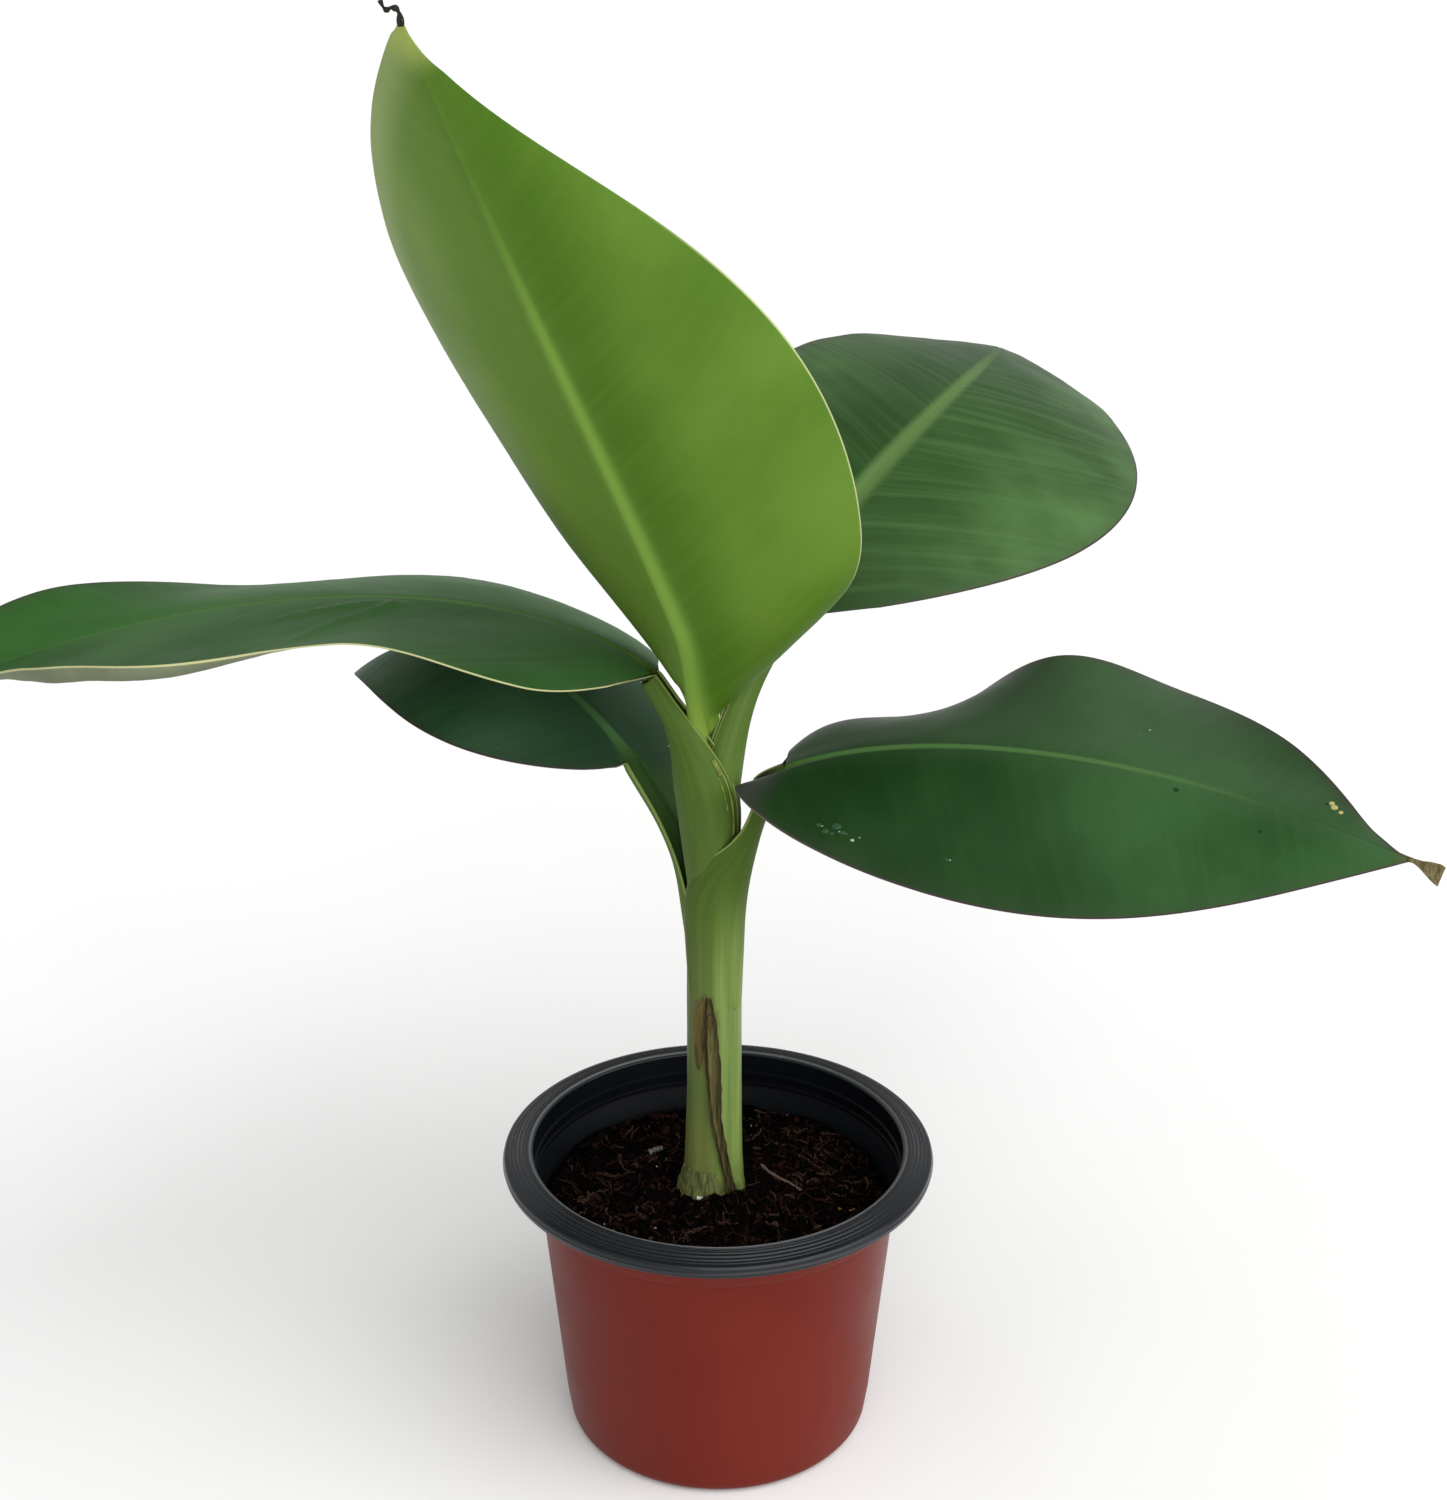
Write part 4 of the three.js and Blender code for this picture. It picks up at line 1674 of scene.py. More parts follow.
@dataclass
class PottingMix:
    """Potting mix: a lumpy bed with crumbs, coir fibres, chips and a few white flecks on it."""

    top: float = 81.6 * MM
    bottom: float = 74 * MM
    radius: float = 56.6 * MM
    stem_radius: float = 11.0 * MM
    rings: int = 70
    spokes: int = 180
    crumbs: int = 3200
    fibres: int = 1100
    chips: int = 26
    flecks: int = 34
    rng: np.random.Generator = field(default_factory=lambda: np.random.default_rng(41))

    LUMPS = ((1.7 * MM, 70.0, 1.0), (1.0 * MM, 190.0, 4.0), (0.5 * MM, 520.0, 9.0))
    MOUND = 1.6 * MM
    MOUND_REACH = mm(12, 34)
    HEAP = 6.5 * MM
    HEAP_PLACE = mm(6, -15)
    HEAP_SPREAD = mm(8, 5)
    EDGE_DROP = 0.8 * MM
    EDGE_FROM = 50 * MM
    SMALL_POWER = 2.2
    TILT = 0.7
    FIBRE_TURN = 0.55
    FIBRE_LENGTHS = (3.5, 11.0)
    FIBRE_RADII = (0.16, 0.55)
    FIBRE_LIFT = 1.3
    LAID_LIFT = 1.3
    LAID_GAP = 0.3 * MM
    LAID_SWELL = 0.15

    def surface(self, x: Array, y: Array) -> Array:
        """Height of the bed at places.

        Args:
            x: Places along X.
            y: Places along Y.

        Returns:
            The heights.
        """
        place = np.stack([x, y, 0.0 * x], -1)
        lumps = sum(depth * grain(place, scale, seed) for depth, scale, seed in self.LUMPS)
        away = np.hypot(x, y)
        mound = self.MOUND * (1.0 - smooth(away, *self.MOUND_REACH))
        aside = (x - self.HEAP_PLACE[0]) / self.HEAP_SPREAD[0]
        forward = (y - self.HEAP_PLACE[1]) / self.HEAP_SPREAD[1]
        heap = self.HEAP * np.exp(-(aside**2) - forward**2)
        edge = self.EDGE_DROP * smooth(away, self.EDGE_FROM, self.radius)
        return self.top + lumps + mound + heap - edge

    def bed(self, finish: Material) -> Piece:
        """Build the bed.

        Args:
            finish: Its material.

        Returns:
            The bed's object.
        """
        shape, angle, share = wrapped_grid(self.spokes, self.rings)
        away = self.radius * share
        x, y = away * np.cos(angle), away * np.sin(angle)
        move_to(shape, np.stack([x, y, self.surface(x, y)], -1))
        weld(shape)
        rim = [edge for edge in shape.edges if edge.is_boundary]
        wall = bmesh.ops.extrude_edge_only(shape, edges=rim)["geom"]
        for vertex in (item for item in wall if isinstance(item, bmesh.types.BMVert)):
            vertex.co.z = self.bottom
        close_ends(shape)
        return add_piece("potting_mix_bed", shape, [finish], ("potting_mix",))

    def spots(self, count: int, inner: float, outer: float) -> Array:
        """Places on the bed, between two distances from the middle.

        Args:
            count: How many.
            inner: Nearest distance.
            outer: Furthest distance.

        Returns:
            The places.
        """
        angle = self.rng.uniform(0.0, math.tau, count)
        away = np.sqrt(self.rng.uniform(inner * inner, outer * outer, count))
        x, y = away * np.cos(angle), away * np.sin(angle)
        return np.stack([x, y, self.surface(x, y)], -1)

    def scatter(self, name: str, count: int, size: tuple, squash: tuple, finishes: list) -> Piece:
        """Scatter small lumps over the bed.

        Args:
            name: Name of the piece.
            count: How many.
            size: Least and greatest radius.
            squash: Least and greatest flatness.
            finishes: Materials that are dealt out among them.

        Returns:
            The joined lumps.
        """
        lump = bmesh.new()
        bmesh.ops.create_icosphere(lump, subdivisions=1, radius=1.0)
        plain = corners(lump)
        radius = blend(*size, self.rng.random(count) ** self.SMALL_POWER)
        place = self.spots(count, self.stem_radius, self.radius - size[1])
        place[:, 2] += 0.25 * radius
        shape = plain[None] * self.rng.uniform(0.72, 1.15, (count, len(plain), 1))
        stretch = np.stack([self.rng.uniform(0.7, 1.3, count) for _ in range(2)], -1)
        shape = shape * np.concatenate([stretch, self.rng.uniform(*squash, (count, 1))], 1)[:, None, :]
        tilt = self.rng.uniform(-self.TILT, self.TILT, (count, 2))
        spin = self.rng.uniform(0.0, math.tau, count)
        turns = np.array([Euler((a, b, c)).to_matrix() for (a, b), c in zip(tilt, spin)])
        shape = np.einsum("cij,cvj->cvi", turns, shape) * radius[:, None, None] + place[:, None, :]
        kinds = self.rng.integers(0, len(finishes), count)
        return join_copies(name, lump, shape, kinds, finishes)

    def coir(self, finishes: list) -> Piece:
        """Lay curly coir fibres on the bed.

        Args:
            finishes: Materials that are dealt out among them.

        Returns:
            The joined fibres.
        """
        steps = 8
        count = self.fibres
        start = self.spots(count, self.stem_radius + 1 * MM, self.radius - 4 * MM)
        heading = self.rng.uniform(0.0, math.tau, (count, 1))
        heading = heading + np.cumsum(self.rng.uniform(-self.FIBRE_TURN, self.FIBRE_TURN, (count, steps)), 1)
        stride = self.rng.uniform(*self.FIBRE_LENGTHS, (count, 1)) * MM / steps
        x = start[:, :1] + np.cumsum(stride * np.cos(heading), 1)
        y = start[:, 1:2] + np.cumsum(stride * np.sin(heading), 1)
        pull = np.minimum(1.0, (self.radius - 2 * MM) / np.hypot(x, y))
        x, y = x * pull, y * pull
        thick = self.rng.uniform(*self.FIBRE_RADII, (count, 1)) * MM * np.linspace(1.0, 0.55, steps)
        z = self.surface(x, y) + thick + self.rng.uniform(0.0, self.FIBRE_LIFT, (count, steps)) * MM
        strand = straight_tube(5, steps)
        places = bent_tubes(strand, np.stack([x, y, z], -1), thick)
        kinds = self.rng.integers(0, len(finishes), count)
        return join_copies("coir_fibres", strand, places, kinds, finishes)

    def laid(self, name: str, places: tuple, radius: float) -> "Strand":
        """A single bit that lies on the bed.

        Args:
            name: Name of the piece.
            places: Its bends, in millimetres along X and Y.
            radius: Its radius.

        Returns:
            The strand, which is still to be built.
        """
        x, y = MM * np.array(places, float).T
        z = self.surface(x, y) + self.LAID_LIFT * radius + self.LAID_GAP
        return Strand(name, np.stack([x, y, z], -1), radius, Slot.MIX, self.LAID_SWELL)

    def build(self) -> None:
        """Build and dress the bed and all that lies on it."""
        black = MixFinish("mix_black", (0.0011, 0.0006, 0.0005), (0.0024, 0.0014, 0.0012)).material()
        brown = MixFinish("mix_brown", (0.0032, 0.0016, 0.0012), (0.008, 0.004, 0.003)).material()
        rust = MixFinish("mix_rust", (0.013, 0.0048, 0.0034), (0.028, 0.011, 0.0075)).material()
        tan = MixFinish("mix_tan", (0.030, 0.016, 0.012), (0.062, 0.034, 0.026)).material()
        straw = MixFinish("mix_straw", (0.10, 0.07, 0.055), (0.17, 0.12, 0.10)).material()
        grey = MixFinish("mix_grey", (0.10, 0.10, 0.095), (0.20, 0.20, 0.19)).material()
        white = MixFinish("mix_white", (0.55, 0.54, 0.50), (0.75, 0.74, 0.70)).material()
        orange = MixFinish("mix_orange", (0.16, 0.065, 0.015), (0.26, 0.11, 0.03)).material()
        self.bed(black)
        self.scatter("mix_crumbs", self.crumbs, mm(0.4, 1.7), (0.5, 0.9), [black] * 3 + [brown] * 2 + [rust])
        self.coir([black] * 7 + [brown] * 8 + [rust] * 5 + [tan] * 4)
        self.scatter("mix_chips", self.chips, mm(0.9, 2.3), (0.3, 0.5), [tan, tan, brown])
        self.scatter("mix_flecks", self.flecks, mm(0.3, 0.7), (0.6, 1.0), [white, grey, grey])
        self.laid("pale_root", ((14.5, 11), (17, 7), (20, 4), (24, 1.5), (27.5, -2)), 0.65 * MM).build(straw)
        self.laid("orange_fibre", ((39, -13.5), (42, -14), (44.5, -12.5)), 0.5 * MM).build(orange)
        self.laid("grey_chip", ((-23.5, 22.5), (-21, 23.2), (-19, 23)), 1.2 * MM).build(grey)
        self.laid("white_speck", ((-6.8, -11.6), (-5.9, -11.8), (-5.0, -11.9)), 0.8 * MM).build(white)


@dataclass(frozen=True)
class Strand:
    """A thin bent strand with small swellings, such as a dried leaf end, a root or a fibre."""

    name: str
    knots: Array
    radius: float
    slot: Slot
    swell: float = 0.35
    rings: int = 34

    SIDES = 8
    ROUNDS = 3
    SWELL_TURN = 21.0
    TAPER = (0.9, 0.55)

    def build(self, finish: Material) -> Piece:
        """Build and dress the strand.

        Args:
            finish: Its material.

        Returns:
            The strand's object.
        """
        last = len(self.knots) - 1
        even = np.linspace(0.0, last, self.rings)
        points = np.stack([np.interp(even, np.arange(last + 1), self.knots[:, k]) for k in range(3)], 1)
        for _ in range(self.ROUNDS):
            points[1:-1] = evened(points, 1, self.rings - 1)
        swell = 1.0 + self.swell * np.sin(np.linspace(0.0, self.SWELL_TURN, self.rings))
        radii = self.radius * np.linspace(*self.TAPER, self.rings) * swell
        tube = straight_tube(self.SIDES, self.rings)
        move_to(tube, bent_tubes(tube, points[None], radii[None])[0])
        face_out(tube)
        return add_piece(self.name, tube, [finish])


@dataclass(frozen=True)
class LeafMarks:
    """Small flat drops or specks on the upper face of a leaf.

    A place is the share of the blade's length, the distance from the rib and a radius. The distance is below
    0 on the left half.
    """

    name: str
    finish: MarkFinish
    places: tuple
    flat: float = 0.3
    stretch: float = 1.4

    def build(self, leaf: Leaf, blade: Piece) -> Piece:
        """Build and dress the marks.

        Args:
            leaf: Leaf that they lie on.
            blade: That leaf's object.

        Returns:
            The joined marks.
        """
        mesh = blade.data
        place, vein, point, normal = np.empty((4, 3 * len(mesh.vertices)))
        mesh.attributes["leaf_place"].data.foreach_get("vector", place)
        mesh.attributes["vein_place"].data.foreach_get("vector", vein)
        mesh.vertices.foreach_get("co", point)
        mesh.vertices.foreach_get("normal", normal)
        point, normal = point.reshape(-1, 3), normal.reshape(-1, 3)
        faces = (face for face in mesh.polygons if face.material_index == Side.UPPER.value)
        upper = np.unique([corner for face in faces for corner in face.vertices])
        drop = bmesh.new()
        bmesh.ops.create_icosphere(drop, subdivisions=2, radius=1.0)
        plain = corners(drop)
        shapes = []
        for share, out, size in self.places:
            gap = np.hypot((place[0::3][upper] - share) * leaf.blade, vein[1::3][upper] * MM - out)
            near = upper[gap.argmin()]
            turn = np.array(Vector(normal[near]).to_track_quat("Z", "Y").to_matrix())
            shapes.append(point[near] + plain * (size * self.stretch, size, size * self.flat) @ turn.T)
        kinds = np.zeros(len(shapes), int)
        marks = join_copies(self.name, drop, np.array(shapes), kinds, [self.finish.material()])
        marks.data.shade_smooth()
        return marks


@dataclass(frozen=True)
class DryFlap:
    """The dried end of the right leaf's tip: a short brown flap that widens and curls."""

    length: float = 10 * MM
    neck: float = 0.7 * MM
    end: float = 2.9 * MM
    thickness: float = 0.3 * MM
    curl: float = 8.0
    columns: int = 10
    rows: int = 18

    WIDENING = (0.1, 0.95)
    RAGGED = 0.15
    ROOT = 0.15
    CUP = 0.5 * MM
    FLUTTER = 0.3 * MM
    FLUTTER_TURNS = (7.0, 2.0)

    def build(self, leaf: Leaf, finish: Material) -> Piece:
        """Build and dress the flap.

        Args:
            leaf: Leaf that it ends.
            finish: Its material.

        Returns:
            The flap's object.
        """
        blade = leaf.blade_rows()
        start, along, across, normal = blade.middle[-1], blade.along[-1], blade.across[-1], blade.normal[-1]
        sheet = grid_sheet(self.columns, self.rows)
        column, row, top = sheet_indices(sheet, self.columns, self.rows)
        run = row / self.rows
        side = 2.0 * column / self.columns - 1.0
        jag = grain(np.stack([side, 4 * run, 0 * run], -1), 1.0, 3.0)
        half = blend(self.neck, self.end, smooth(run, *self.WIDENING)) * (1.0 + self.RAGGED * jag)
        bend = np.radians(self.curl) * run
        reach = (self.length * (run - self.ROOT))[:, None]
        places = start + reach * (np.cos(bend)[:, None] * along - np.sin(bend)[:, None] * UP)
        places = places + (side * half)[:, None] * across
        flutter = np.sin(self.FLUTTER_TURNS[0] * run + self.FLUTTER_TURNS[1] * side)
        lift = self.CUP * side**2 + self.FLUTTER * flutter - np.where(top, 0.0, self.thickness)
        move_to(sheet, places + lift[:, None] * normal)
        face_out(sheet)
        return add_piece("dry_flap", sheet, [finish, finish])


@dataclass(frozen=True)
class Studio:
    """A pale floor, soft light and a camera where the photograph was taken."""

    camera_place: Point = (0.0, -0.598, 0.457)
    camera_tilt: float = 69.8
    focal_pixels: float = 2085.0
    frame_pixels: tuple = (1447, 1500)
    axis_pixel: float = 718.0
    sensor: float = 36.0
    floor_size: float = 300.0
    floor_drop: float = 0.3 * MM
    floor_dark: Colour = (0.86, 0.86, 0.855)
    floor_light: Colour = (0.90, 0.90, 0.895)
    floor_roughness: float = 0.9
    floor_specular: float = 0.1
    sky_strength: float = 0.6
    key_place: Point = (0.55, -0.65, 0.6)
    key_spread: float = 90.0
    key_power: float = 3.2

    def camera(self) -> None:
        """Place the camera."""
        longest = max(self.frame_pixels)
        data = bpy.data.cameras.new("camera")
        data.sensor_width = self.sensor
        data.lens = self.focal_pixels / longest * self.sensor
        data.shift_x = (self.frame_pixels[0] / 2 - self.axis_pixel) / longest
        data.clip_start = 0.01
        camera = bpy.data.objects.new("camera", data)
        camera.location = self.camera_place
        camera.rotation_euler = (math.radians(self.camera_tilt), 0.0, 0.0)
        bpy.context.scene.collection.objects.link(camera)
        bpy.context.scene.camera = camera

    def lamp(self) -> None:
        """Hang a soft lamp that is equally strong everywhere."""
        data = bpy.data.lights.new("key", "SUN")
        data.angle = math.radians(self.key_spread)
        data.energy = self.key_power
        lamp = bpy.data.objects.new("key", data)
        lamp.location = self.key_place
        lamp.rotation_euler = Vector(self.key_place).to_track_quat("Z", "Y").to_euler()
        bpy.context.scene.collection.objects.link(lamp)

    def floor(self) -> None:
        """Lay the floor."""
        shape = bmesh.new()
        bmesh.ops.create_grid(shape, x_segments=1, y_segments=1, size=self.floor_size / 2)
        bmesh.ops.translate(shape, vec=(0, 0, -self.floor_drop), verts=shape.verts[:])
        mesh = bpy.data.meshes.new("floor")
        shape.to_mesh(mesh)
        shape.free()
        graph = Graph("floor_paint")
        tint = graph.mix(graph.noise(6.0, 2.0), self.floor_dark, self.floor_light)
        mesh.materials.append(graph.finish(tint, self.floor_roughness, self.floor_specular))
        plane = bpy.data.objects.new("floor", mesh)
        bpy.context.scene.collection.objects.link(plane)

    def build(self) -> None:
        """Set up the camera, the light and the floor."""
        self.camera()
        self.floor()
        world = bpy.data.worlds.new("soft_white")
        world.use_nodes = True
        sky = world.node_tree.nodes["Background"].inputs
        sky["Color"].default_value = (1.0, 1.0, 1.0, 1.0)
        sky["Strength"].default_value = self.sky_strength
        bpy.context.scene.world = world
        self.lamp()
        bpy.context.scene.view_settings.view_transform = "Standard"
        LOG.info("studio: camera, floor and soft light")


# The young leaf's underside: its bright yellow-green is partly its own paler green and partly a painted glow
# of light shining through the thin leaf
YOUNG_UNDER = BladeFinish(
    dark=(0.046, 0.122, 0.004), light=(0.106, 0.205, 0.022), rib=(0.142, 0.266, 0.036),
    margin_left=PALE_EDGE, margin_right=(0.32, 0.38, 0.16), tip=(0.28, 0.35, 0.08), tip_from=0.93,
    stalk_dark=(0.12, 0.20, 0.02), stalk_light=(0.20, 0.30, 0.05), sheath_to=-0.95,
    roughness=0.54, specular=0.14, rib_share=1.45, rib_fade=0.85, rib_soft=0.8, vein_depth=0.08,
    margin_width=0.5, margin_to=0.7, halo=0.85, halo_width=30.0, base_shade=0.95, base_to=0.3,
    # The pale band and line along the right half's margin are partly a waxy bloom and partly a painted sheen
    blush_right=0.5, blush_width=11.0, blush_from=0.3, streaks=0.22, clouds=0.4,
    # The light colour laid over the right half is a painted glow of light through the leaf
    painted_light=(0.21, 0.33, 0.07), painted_light_right=0.27,
)
YOUNG_UPPER = BladeFinish(
    dark=(0.040, 0.125, 0.010), light=(0.07, 0.165, 0.020), rib=(0.16, 0.25, 0.06),
    margin_left=PALE_EDGE, margin_right=PALE_EDGE, specular=0.25,
)
MATURE_UNDER = BladeFinish(
    dark=(0.075, 0.13, 0.045), light=(0.13, 0.19, 0.085), rib=(0.17, 0.24, 0.09),
    margin_left=DULL_EDGE, margin_right=DULL_EDGE, roughness=0.6, specular=0.15,
    stalk_dark=(0.050, 0.100, 0.012), stalk_light=(0.095, 0.165, 0.028),
)

ROLLED_UNDER = replace(
    MATURE_UNDER, dark=(0.125, 0.150, 0.088), light=(0.185, 0.212, 0.130), margin_left=(0.46, 0.45, 0.23),
    margin_width=0.7, stalk_dark=(0.038, 0.080, 0.007), stalk_light=(0.076, 0.138, 0.019),
)
LOW_UNDER = replace(
    MATURE_UNDER, sheath_to=-0.5, stalk_dark=(0.032, 0.070, 0.004), stalk_light=(0.068, 0.124, 0.014),
)

LEAVES = (
    Leaf(
        name="leaf_upright", foot=mm(0.7, -3.9, 237), azimuth=230, sweep=23, rise=79, crest=75,
        droop=48, bend=0.35, roll=-3, twist=-1, stalk=6 * MM, blade=254 * MM, fullness=0.55, tip_slant=0.35,
        left=HalfBlade(
            62 * MM, 0.55, 1.35, (9, 4), (62, 42), 0.2, -0.002, wedge=2.05, wing=4.5 * MM, wing_from=0.35,
        ),
        right=HalfBlade(65 * MM, 0.35, 0.9, (9, 4), (32, 37), 0.1, 0.019, wedge=1.57, cut=0.05),
        sheath=SheathPath(
            190 * MM, 205 * MM, 14 * MM, 12 * MM, 82, mm(190, 215, 228, 236),
            mm(4.2, 4.6, 4.0, 3.2), (165, 165, 160, 150),
        ),
        upper=YOUNG_UPPER, lower=YOUNG_UNDER, slot=Slot.YOUNG, seed=1.3, ripple=0.35 * MM,
        stalk_radius=2.6 * MM, channel=140, rib=2.6 * MM, keel=1.0 * MM, nudge=(-5 * MM, 8.5 * MM, 0.0),
    ),
    Leaf(
        name="leaf_back_right", foot=mm(4, 4, 230), azimuth=43, sweep=44, rise=58, crest=73,
        droop=-12, bend=0.4, roll=-18, twist=3, stalk=48 * MM, blade=247 * MM, fullness=0.75, tip_slant=0.2,
        left=HalfBlade(62 * MM, 0.65, 1.0, (0, -5), slant=0.1),
        right=HalfBlade(71 * MM, 0.85, 0.8, (-10, -5), slant=0.2),
        sheath=SheathPath(
            190 * MM, 200 * MM, 44 * MM, 18 * MM, 50, mm(195, 212, 232, 245, 256),
            mm(5.2, 6.7, 6.2, 4.5, 3.4), (170, 176, 178, 177, 172),
        ),
        upper=BladeFinish(
            dark=(0.012, 0.050, 0.005), light=(0.070, 0.158, 0.046), rib=(0.075, 0.150, 0.036),
            blush_left=0.2, blush_right=0.2, roughness=0.40, specular=0.13, vein_depth=0.16, base_shade=0.85,
            # The dark colour laid over the left half is painted shade
            streaks=0.4, rib_fade=0.86, rib_soft=0.6, painted_light=(0.005, 0.032, 0.001), painted_light_left=0.35,
            halo=0.8, halo_width=48.0,
            stalk_dark=(0.06, 0.12, 0.015), stalk_light=(0.11, 0.19, 0.03),
        ),
        lower=MATURE_UNDER, slot=Slot.MATURE, seed=3.1, ripple=0.7 * MM, rib=4.0 * MM, channel=165,
        stalk_radius=2.8 * MM, vein_relief=0.12 * MM,
    ),
    Leaf(
        name="leaf_left", foot=mm(-6.5, -2, 235), azimuth=152, sweep=56, rise=74, crest=48,
        droop=-17, bend=0.3, roll=6, twist=-9, stalk=29 * MM, blade=244 * MM, fullness=0.57, tip_slant=0.1,
        waves=1.65, phase=-0.14,
        left=HalfBlade(
            64 * MM, 0.4, 0.7, (1.6, 0.8), (8.8, 4.4), 0.149, 0.0, 3.5 * MM,
            roll=EdgeRoll((0.314, 0.677), (0.75, 0.94), 135, 6 * MM, 28 * MM),
        ),
        right=HalfBlade(65 * MM, 0.4, 0.6, (-15, 14), (-34, 7), 0.25, 0.0, 6 * MM),
        sheath=SheathPath(
            180 * MM, 212 * MM, 20 * MM, 12 * MM, 50,
            mm(180, 195, 208, 220, 227, 231, 236, 243, 250),
            mm(6.4, 7.2, 8.6, 9.5, 9.3, 8.5, 6.5, 4.2, 3.0),
            (165, 170, 178, 180, 178, 174, 170, 166, 164),
        ),
        upper=BladeFinish(
            dark=(0.013, 0.064, 0.007), light=(0.031, 0.110, 0.020), rib=(0.060, 0.14, 0.034), specular=0.05,
            margin_left=PALE_EDGE, blush_right=0.3, margin_width=0.6,
            # The green colour laid over both halves, up to six tenths of the length, is a painted sheen
            painted_light=(0.080, 0.160, 0.067), painted_light_left=0.17, painted_light_right=0.28, painted_light_to=0.62,
            stalk_dark=(0.042, 0.090, 0.010), stalk_light=(0.085, 0.152, 0.024),
        ),
        lower=ROLLED_UNDER, slot=Slot.MATURE, seed=5.7, ripple=0.6 * MM, channel=160, vein_relief=0.08 * MM,
        creases=(
            Crease((0.345, -4 * MM), (0.43, -58 * MM), 1.5 * MM, 2.6 * MM),
            Crease((0.350, -3 * MM), (0.55, -30 * MM), 0.9 * MM, 2.2 * MM),
        ),
    ),
    Leaf(
        name="leaf_right", foot=mm(4, -2, 202), azimuth=-15, sweep=0, rise=93, crest=52, droop=-20,
        bend=0.35, roll=-36, twist=-34, stalk=28 * MM, blade=198 * MM, fullness=0.85, tip_slant=0.06,
        waves=2.6, phase=-0.46,
        left=HalfBlade(49 * MM, 0.16, 1.6, (-29, -13), (-41, -29), -0.14, 0.05, -13 * MM),
        right=HalfBlade(49 * MM, 0.55, 0.95, (5, 7), (-15, -6), -0.14, lobe=0.35, lobe_lift=74),
        sheath=SheathPath(
            150 * MM, 178 * MM, 20 * MM, 20 * MM, 62,
            mm(150, 175, 188, 195, 202, 208, 213, 218, 224),
            mm(7.9, 8.9, 9.3, 9.2, 8.6, 7.8, 6.7, 5.7, 4.6),
            (140, 150, 156, 148, 115, 84, 62, 70, 85), (0, 0, 0, 0, 10, 22, 30, 30, 22),
        ),
        upper=BladeFinish(
            dark=(0.010, 0.048, 0.007), light=(0.031, 0.097, 0.025), rib=(0.052, 0.120, 0.032), streaks=0.22,
            blush_left=0.3, blush_right=0.15, roughness=0.40, specular=0.07,
            base_shade=0.3, base_to=0.9, sheath_to=-0.55, rib_fade=0.85, rib_soft=0.5,
            # The grey colour laid over the left half is a painted sheen
            tip=(0.10, 0.09, 0.03), tip_from=0.965, vein_depth=0.06, painted_light_left=0.18, lobe_blush=0.85,
            stalk_dark=(0.04, 0.085, 0.01), stalk_light=(0.08, 0.14, 0.02),
        ),
        lower=LOW_UNDER, slot=Slot.MATURE, seed=8.2, ripple=0.7 * MM, channel=118, rib=0.75 * MM,
    ),
    Leaf(
        name="leaf_back_left", foot=mm(-8, 3, 184.5), azimuth=138, sweep=7, rise=79, crest=40,
        droop=-39, bend=1.05, roll=5, twist=10, stalk=49 * MM, blade=141 * MM, fullness=0.8, tip_slant=0.05,
        left=HalfBlade(41 * MM, 0.8, 0.85, (-20, 0)),
        right=HalfBlade(41 * MM, 0.3, 0.95, (-15, -10), wing=22.5 * MM, wing_from=0.6),
        sheath=SheathPath(
            160 * MM, 168 * MM, 24 * MM, 18 * MM, 46, mm(168, 180, 187, 200, 212),
            mm(7.9, 8.3, 7.4, 4.4, 3.2), (120, 105, 90, 85, 88),
        ),
        upper=BladeFinish(
            dark=(0.027, 0.082, 0.034), light=(0.058, 0.140, 0.066), rib=(0.062, 0.15, 0.048), specular=0.06,
            blush_left=0.2, roughness=0.46, freckles=0.1, base_shade=0.25,
            stalk_dark=(0.016, 0.052, 0.010), stalk_light=(0.040, 0.090, 0.018),
        ),
        lower=MATURE_UNDER, slot=Slot.MATURE, seed=11.4, channel=88, stalk_radius=3.0 * MM,
    ),
)

LEAF_UPRIGHT, _, LEAF_LEFT, LEAF_RIGHT, _ = LEAVES

THREAD_TURNS = MM * np.array([
    (0, 0, -2.0), (-0.1, -0.2, 0.5), (-0.7, -0.3, 1.6), (-1.9, -0.2, 1.8), (-2.9, 0.1, 1.2),
    (-3.6, 0.1, 1.9), (-4.2, 0, 3.3),
])

DRY_OLIVE = DryFinish("dry_olive", (0.052, 0.047, 0.013), (0.145, 0.132, 0.042))
DRY_EDGE = DryFinish("dry_edge", (0.024, 0.017, 0.005), (0.090, 0.068, 0.024))
DRY_ORANGE = DryFinish("dry_orange", (0.050, 0.038, 0.007), (0.165, 0.122, 0.034))
DRY_COLLAR = DryFinish("dry_collar", (0.055, 0.066, 0.018), (0.17, 0.19, 0.06))
DRY_SCAR = DryFinish("rim_scar", (0.12, 0.15, 0.025), (0.25, 0.29, 0.06))
DRY_BLACK = DryFinish("dry_black", (0.006, 0.005, 0.004), (0.02, 0.016, 0.012))
DRY_BROWN = DryFinish("dry_flap", (0.06, 0.045, 0.015), (0.17, 0.14, 0.06))
STRIP_HEIGHTS = mm(80, 93, 114, 133, 150, 157)

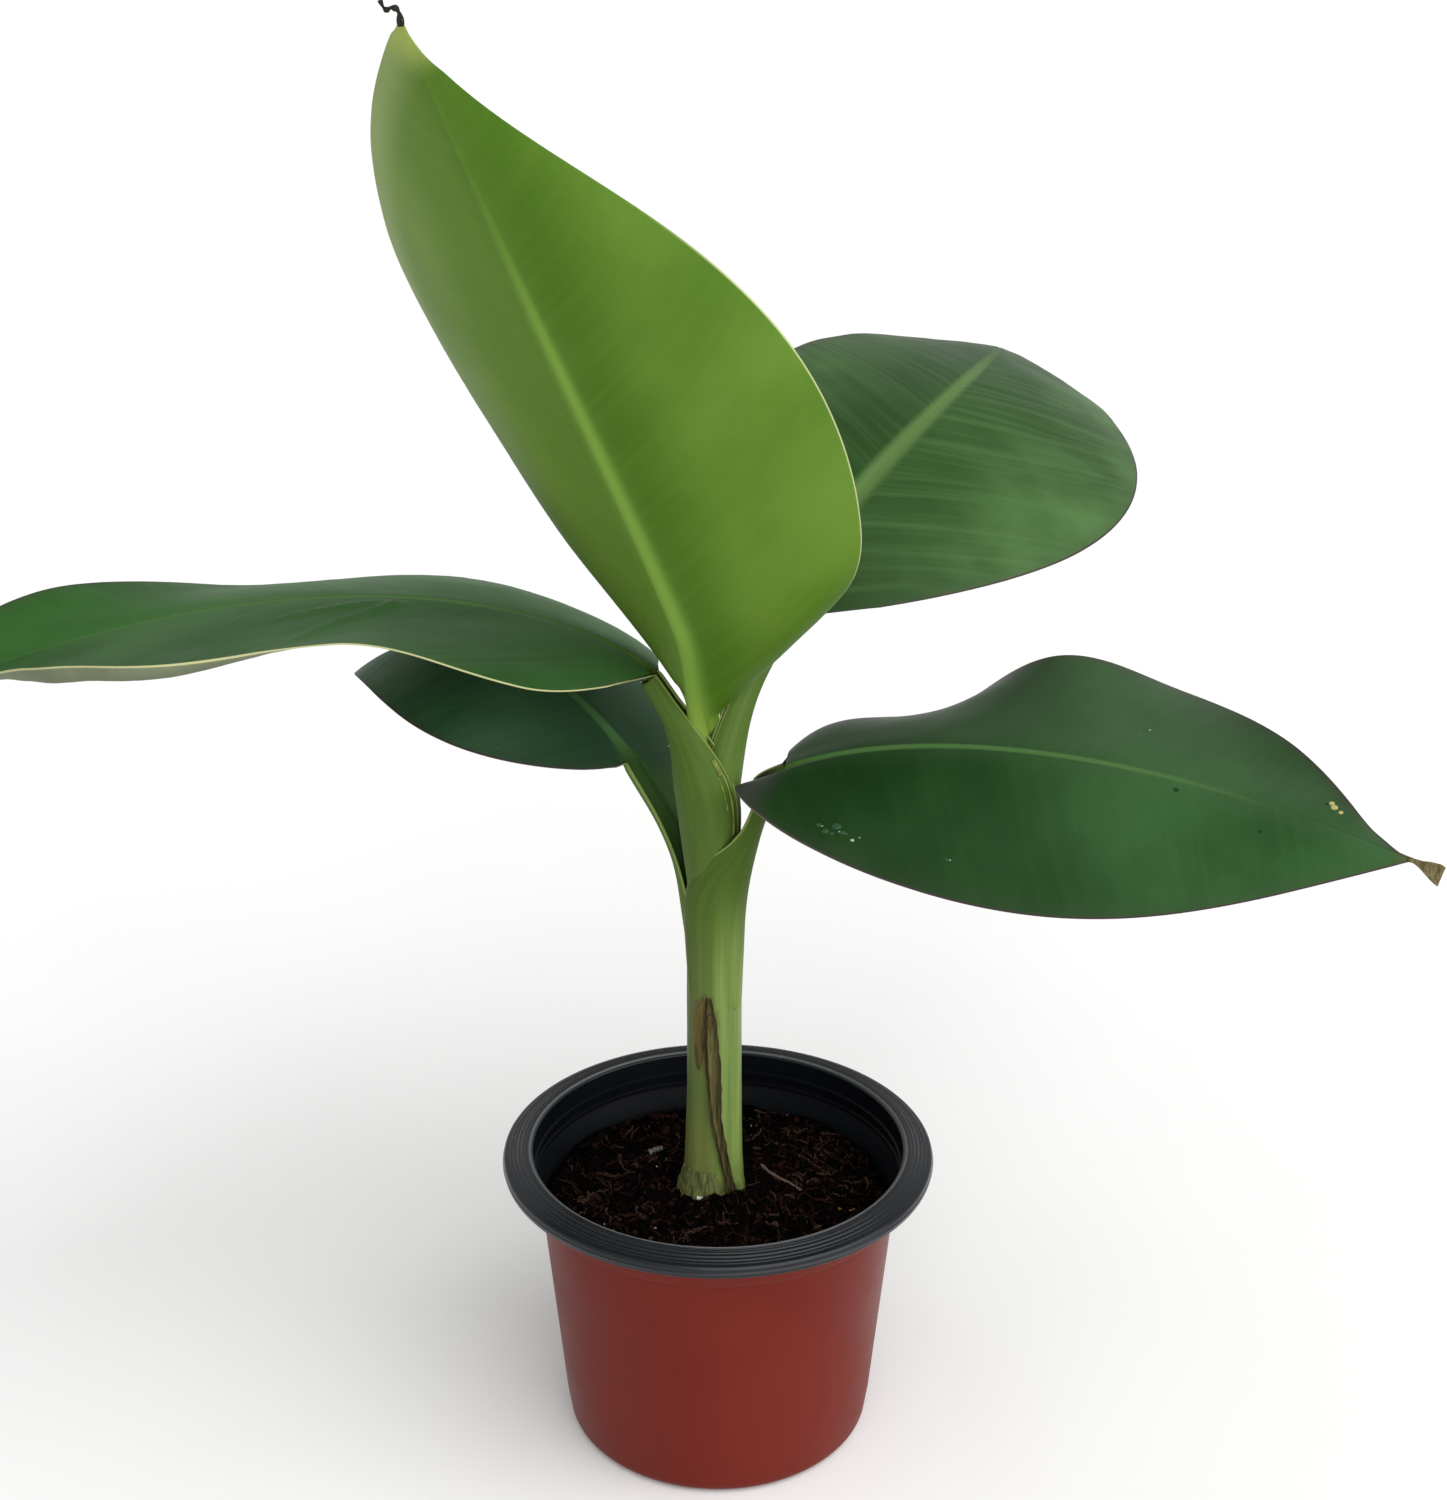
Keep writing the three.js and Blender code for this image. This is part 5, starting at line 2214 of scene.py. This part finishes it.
LEAF_MARKS = (
    LeafMarks("wet_marks", MarkFinish("wet", (0.020, 0.056, 0.025), 0.3, 0.12), (
        (0.134, 25.8 * MM, 0.6 * MM), (0.145, 27.2 * MM, 0.8 * MM), (0.161, 26.7 * MM, 1.1 * MM),
        (0.172, 28.3 * MM, 0.7 * MM), (0.156, 28.8 * MM, 0.5 * MM), (0.177, 29.0 * MM, 0.4 * MM),
        (0.340, 36.6 * MM, 0.4 * MM), (0.591, -15.2 * MM, 0.8 * MM),
    ), 0.12),
    LeafMarks("pale_marks", MarkFinish("pale", (0.26, 0.32, 0.23), 0.4, 0.3), (
        (0.188, 30.8 * MM, 0.45 * MM), (0.199, 30.3 * MM, 0.2 * MM), (0.140, 26.2 * MM, 0.2 * MM),
        (0.165, 27.4 * MM, 0.2 * MM), (0.153, 26.4 * MM, 0.25 * MM), (0.595, -15.6 * MM, 0.25 * MM),
        (0.345, 36.9 * MM, 0.2 * MM),
    ), 0.3),
    LeafMarks("yellow_marks", MarkFinish("yellow", (0.34, 0.30, 0.11), 0.7, 0.2), (
        (0.864, -6.9 * MM, 0.6 * MM), (0.871, -6.2 * MM, 0.75 * MM), (0.880, -5.4 * MM, 0.5 * MM),
    ), 0.14),
    LeafMarks("dark_marks", MarkFinish("dark", (0.008, 0.028, 0.008), 0.7, 0.05), (
        (0.651, 2.8 * MM, 0.6 * MM), (0.782, 8.3 * MM, 0.45 * MM), (0.859, -6.6 * MM, 0.35 * MM),
    ), 0.12),
)

SCRAPS = (
    SheathScrap(
        "dry_strip", DRY_OLIVE, STRIP_HEIGHTS, (-48, -65, -87, -92, -98, -100),
        mm(1.0, 0.9, 1.2, 1.9, 1.6, 0.4), lift=0.2 * MM,
    ),
    SheathScrap(
        "strip_edge_left", DRY_EDGE, STRIP_HEIGHTS, (-53, -70.5, -94.5, -104, -107, -103),
        mm(0.6, 0.35, 0.4, 0.4, 0.5, 0.2), stand=0.75 * MM, ragged=0.7, columns=6, seed=3.0,
    ),
    SheathScrap(
        "strip_edge_right", DRY_EDGE, STRIP_HEIGHTS, (-43, -59.5, -79.5, -80, -89, -97),
        mm(0.8, 0.5, 0.5, 0.4, 0.35, 0.2), stand=0.75 * MM, ragged=0.7, columns=6, seed=4.0,
    ),
    SheathScrap(
        "dry_patch", DRY_ORANGE, mm(131, 140, 149, 158), (-124, -123, -119, -110),
        mm(0.4, 1.7, 2.0, 0.4), stand=0.4 * MM, lift=0.1 * MM, ragged=0.5, rows=60, seed=5.0,
    ),
    SheathScrap(
        "dark_spot", DRY_EDGE, mm(146.5, 148, 150, 151.5), (-100, -99, -98, -97),
        mm(0.3, 1.2, 1.1, 0.3), stand=0.95 * MM, lift=0.0, rows=20, columns=10, seed=7.0,
    ),
    SheathScrap(
        "old_collar", DRY_COLLAR, mm(78.5, 84, 90, 94), (-132, -131, -128, -126),
        mm(11, 10, 8.5, 6), stand=1.0 * MM, lift=-0.5 * MM, ragged=0.3, folds=(2.4, 260.0),
        fold_depth=0.35 * MM, seed=6.0, columns=40, rows=60,
    ),
)

POT_FINISHES = (
    PotFinish("pot_red", (0.122, 0.0105, 0.005), (0.165, 0.021, 0.011), 0.40, 0.2, 0.12),
    PotFinish("pot_black", (0.003, 0.0044, 0.007), (0.009, 0.011, 0.016), 0.25, 0.3, 0.36),
    # The inside's black is darker than the rim's: painted shade inside the pot
    PotFinish("pot_inside", (0.0022, 0.0028, 0.0042), (0.005, 0.006, 0.009), 0.5, 0.3, 0.1),
    # Pale grey for the mouth's lip: a painted highlight
    PotFinish("pot_lip", (0.085, 0.092, 0.094), (0.20, 0.205, 0.205), 0.45, 0.4, 0.3),
)

# Strands beside the rim of the left leaf's sheath: name, place across, stations, radius and rings
RIM_STRANDS = (
    ("rim_scar", 0.93, slice(12, 22), 0.35 * MM, 34),
    ("rim_crease", 0.86, slice(15, 20), 0.3 * MM, 34),
    ("rim_knot", 0.9, slice(19, 22), 0.8 * MM, 14),
)


def main() -> None:
    """Build the studio, the pot, the mix, the stem and the leaves."""
    logging.basicConfig(level=logging.INFO, format="%(name)s %(message)s")
    Studio().build()
    Pot().build([finish.material() for finish in POT_FINISHES])
    PottingMix().build()
    stem = Pseudostem()
    stem.build(StemFinish().material())
    for scrap in SCRAPS:
        scrap.build(stem)
    blades = {leaf.name: leaf.build(stem) for leaf in LEAVES}
    for marks in LEAF_MARKS:
        marks.build(LEAF_RIGHT, blades[LEAF_RIGHT.name])
    scar = DRY_SCAR.material()
    for name, place, stations, radius, rings in RIM_STRANDS:
        knots = LEAF_LEFT.near_rim(stem, place)[stations]
        Strand(name, knots, radius, Slot.MATURE, rings=rings).build(scar)
    tip = LEAF_UPRIGHT.blade_rows().middle[-1]
    Strand("dry_thread", tip + THREAD_TURNS, 0.75 * MM, Slot.YOUNG).build(DRY_BLACK.material())
    DryFlap().build(LEAF_RIGHT, DRY_BROWN.material())


if __name__ == "__main__":
    main()
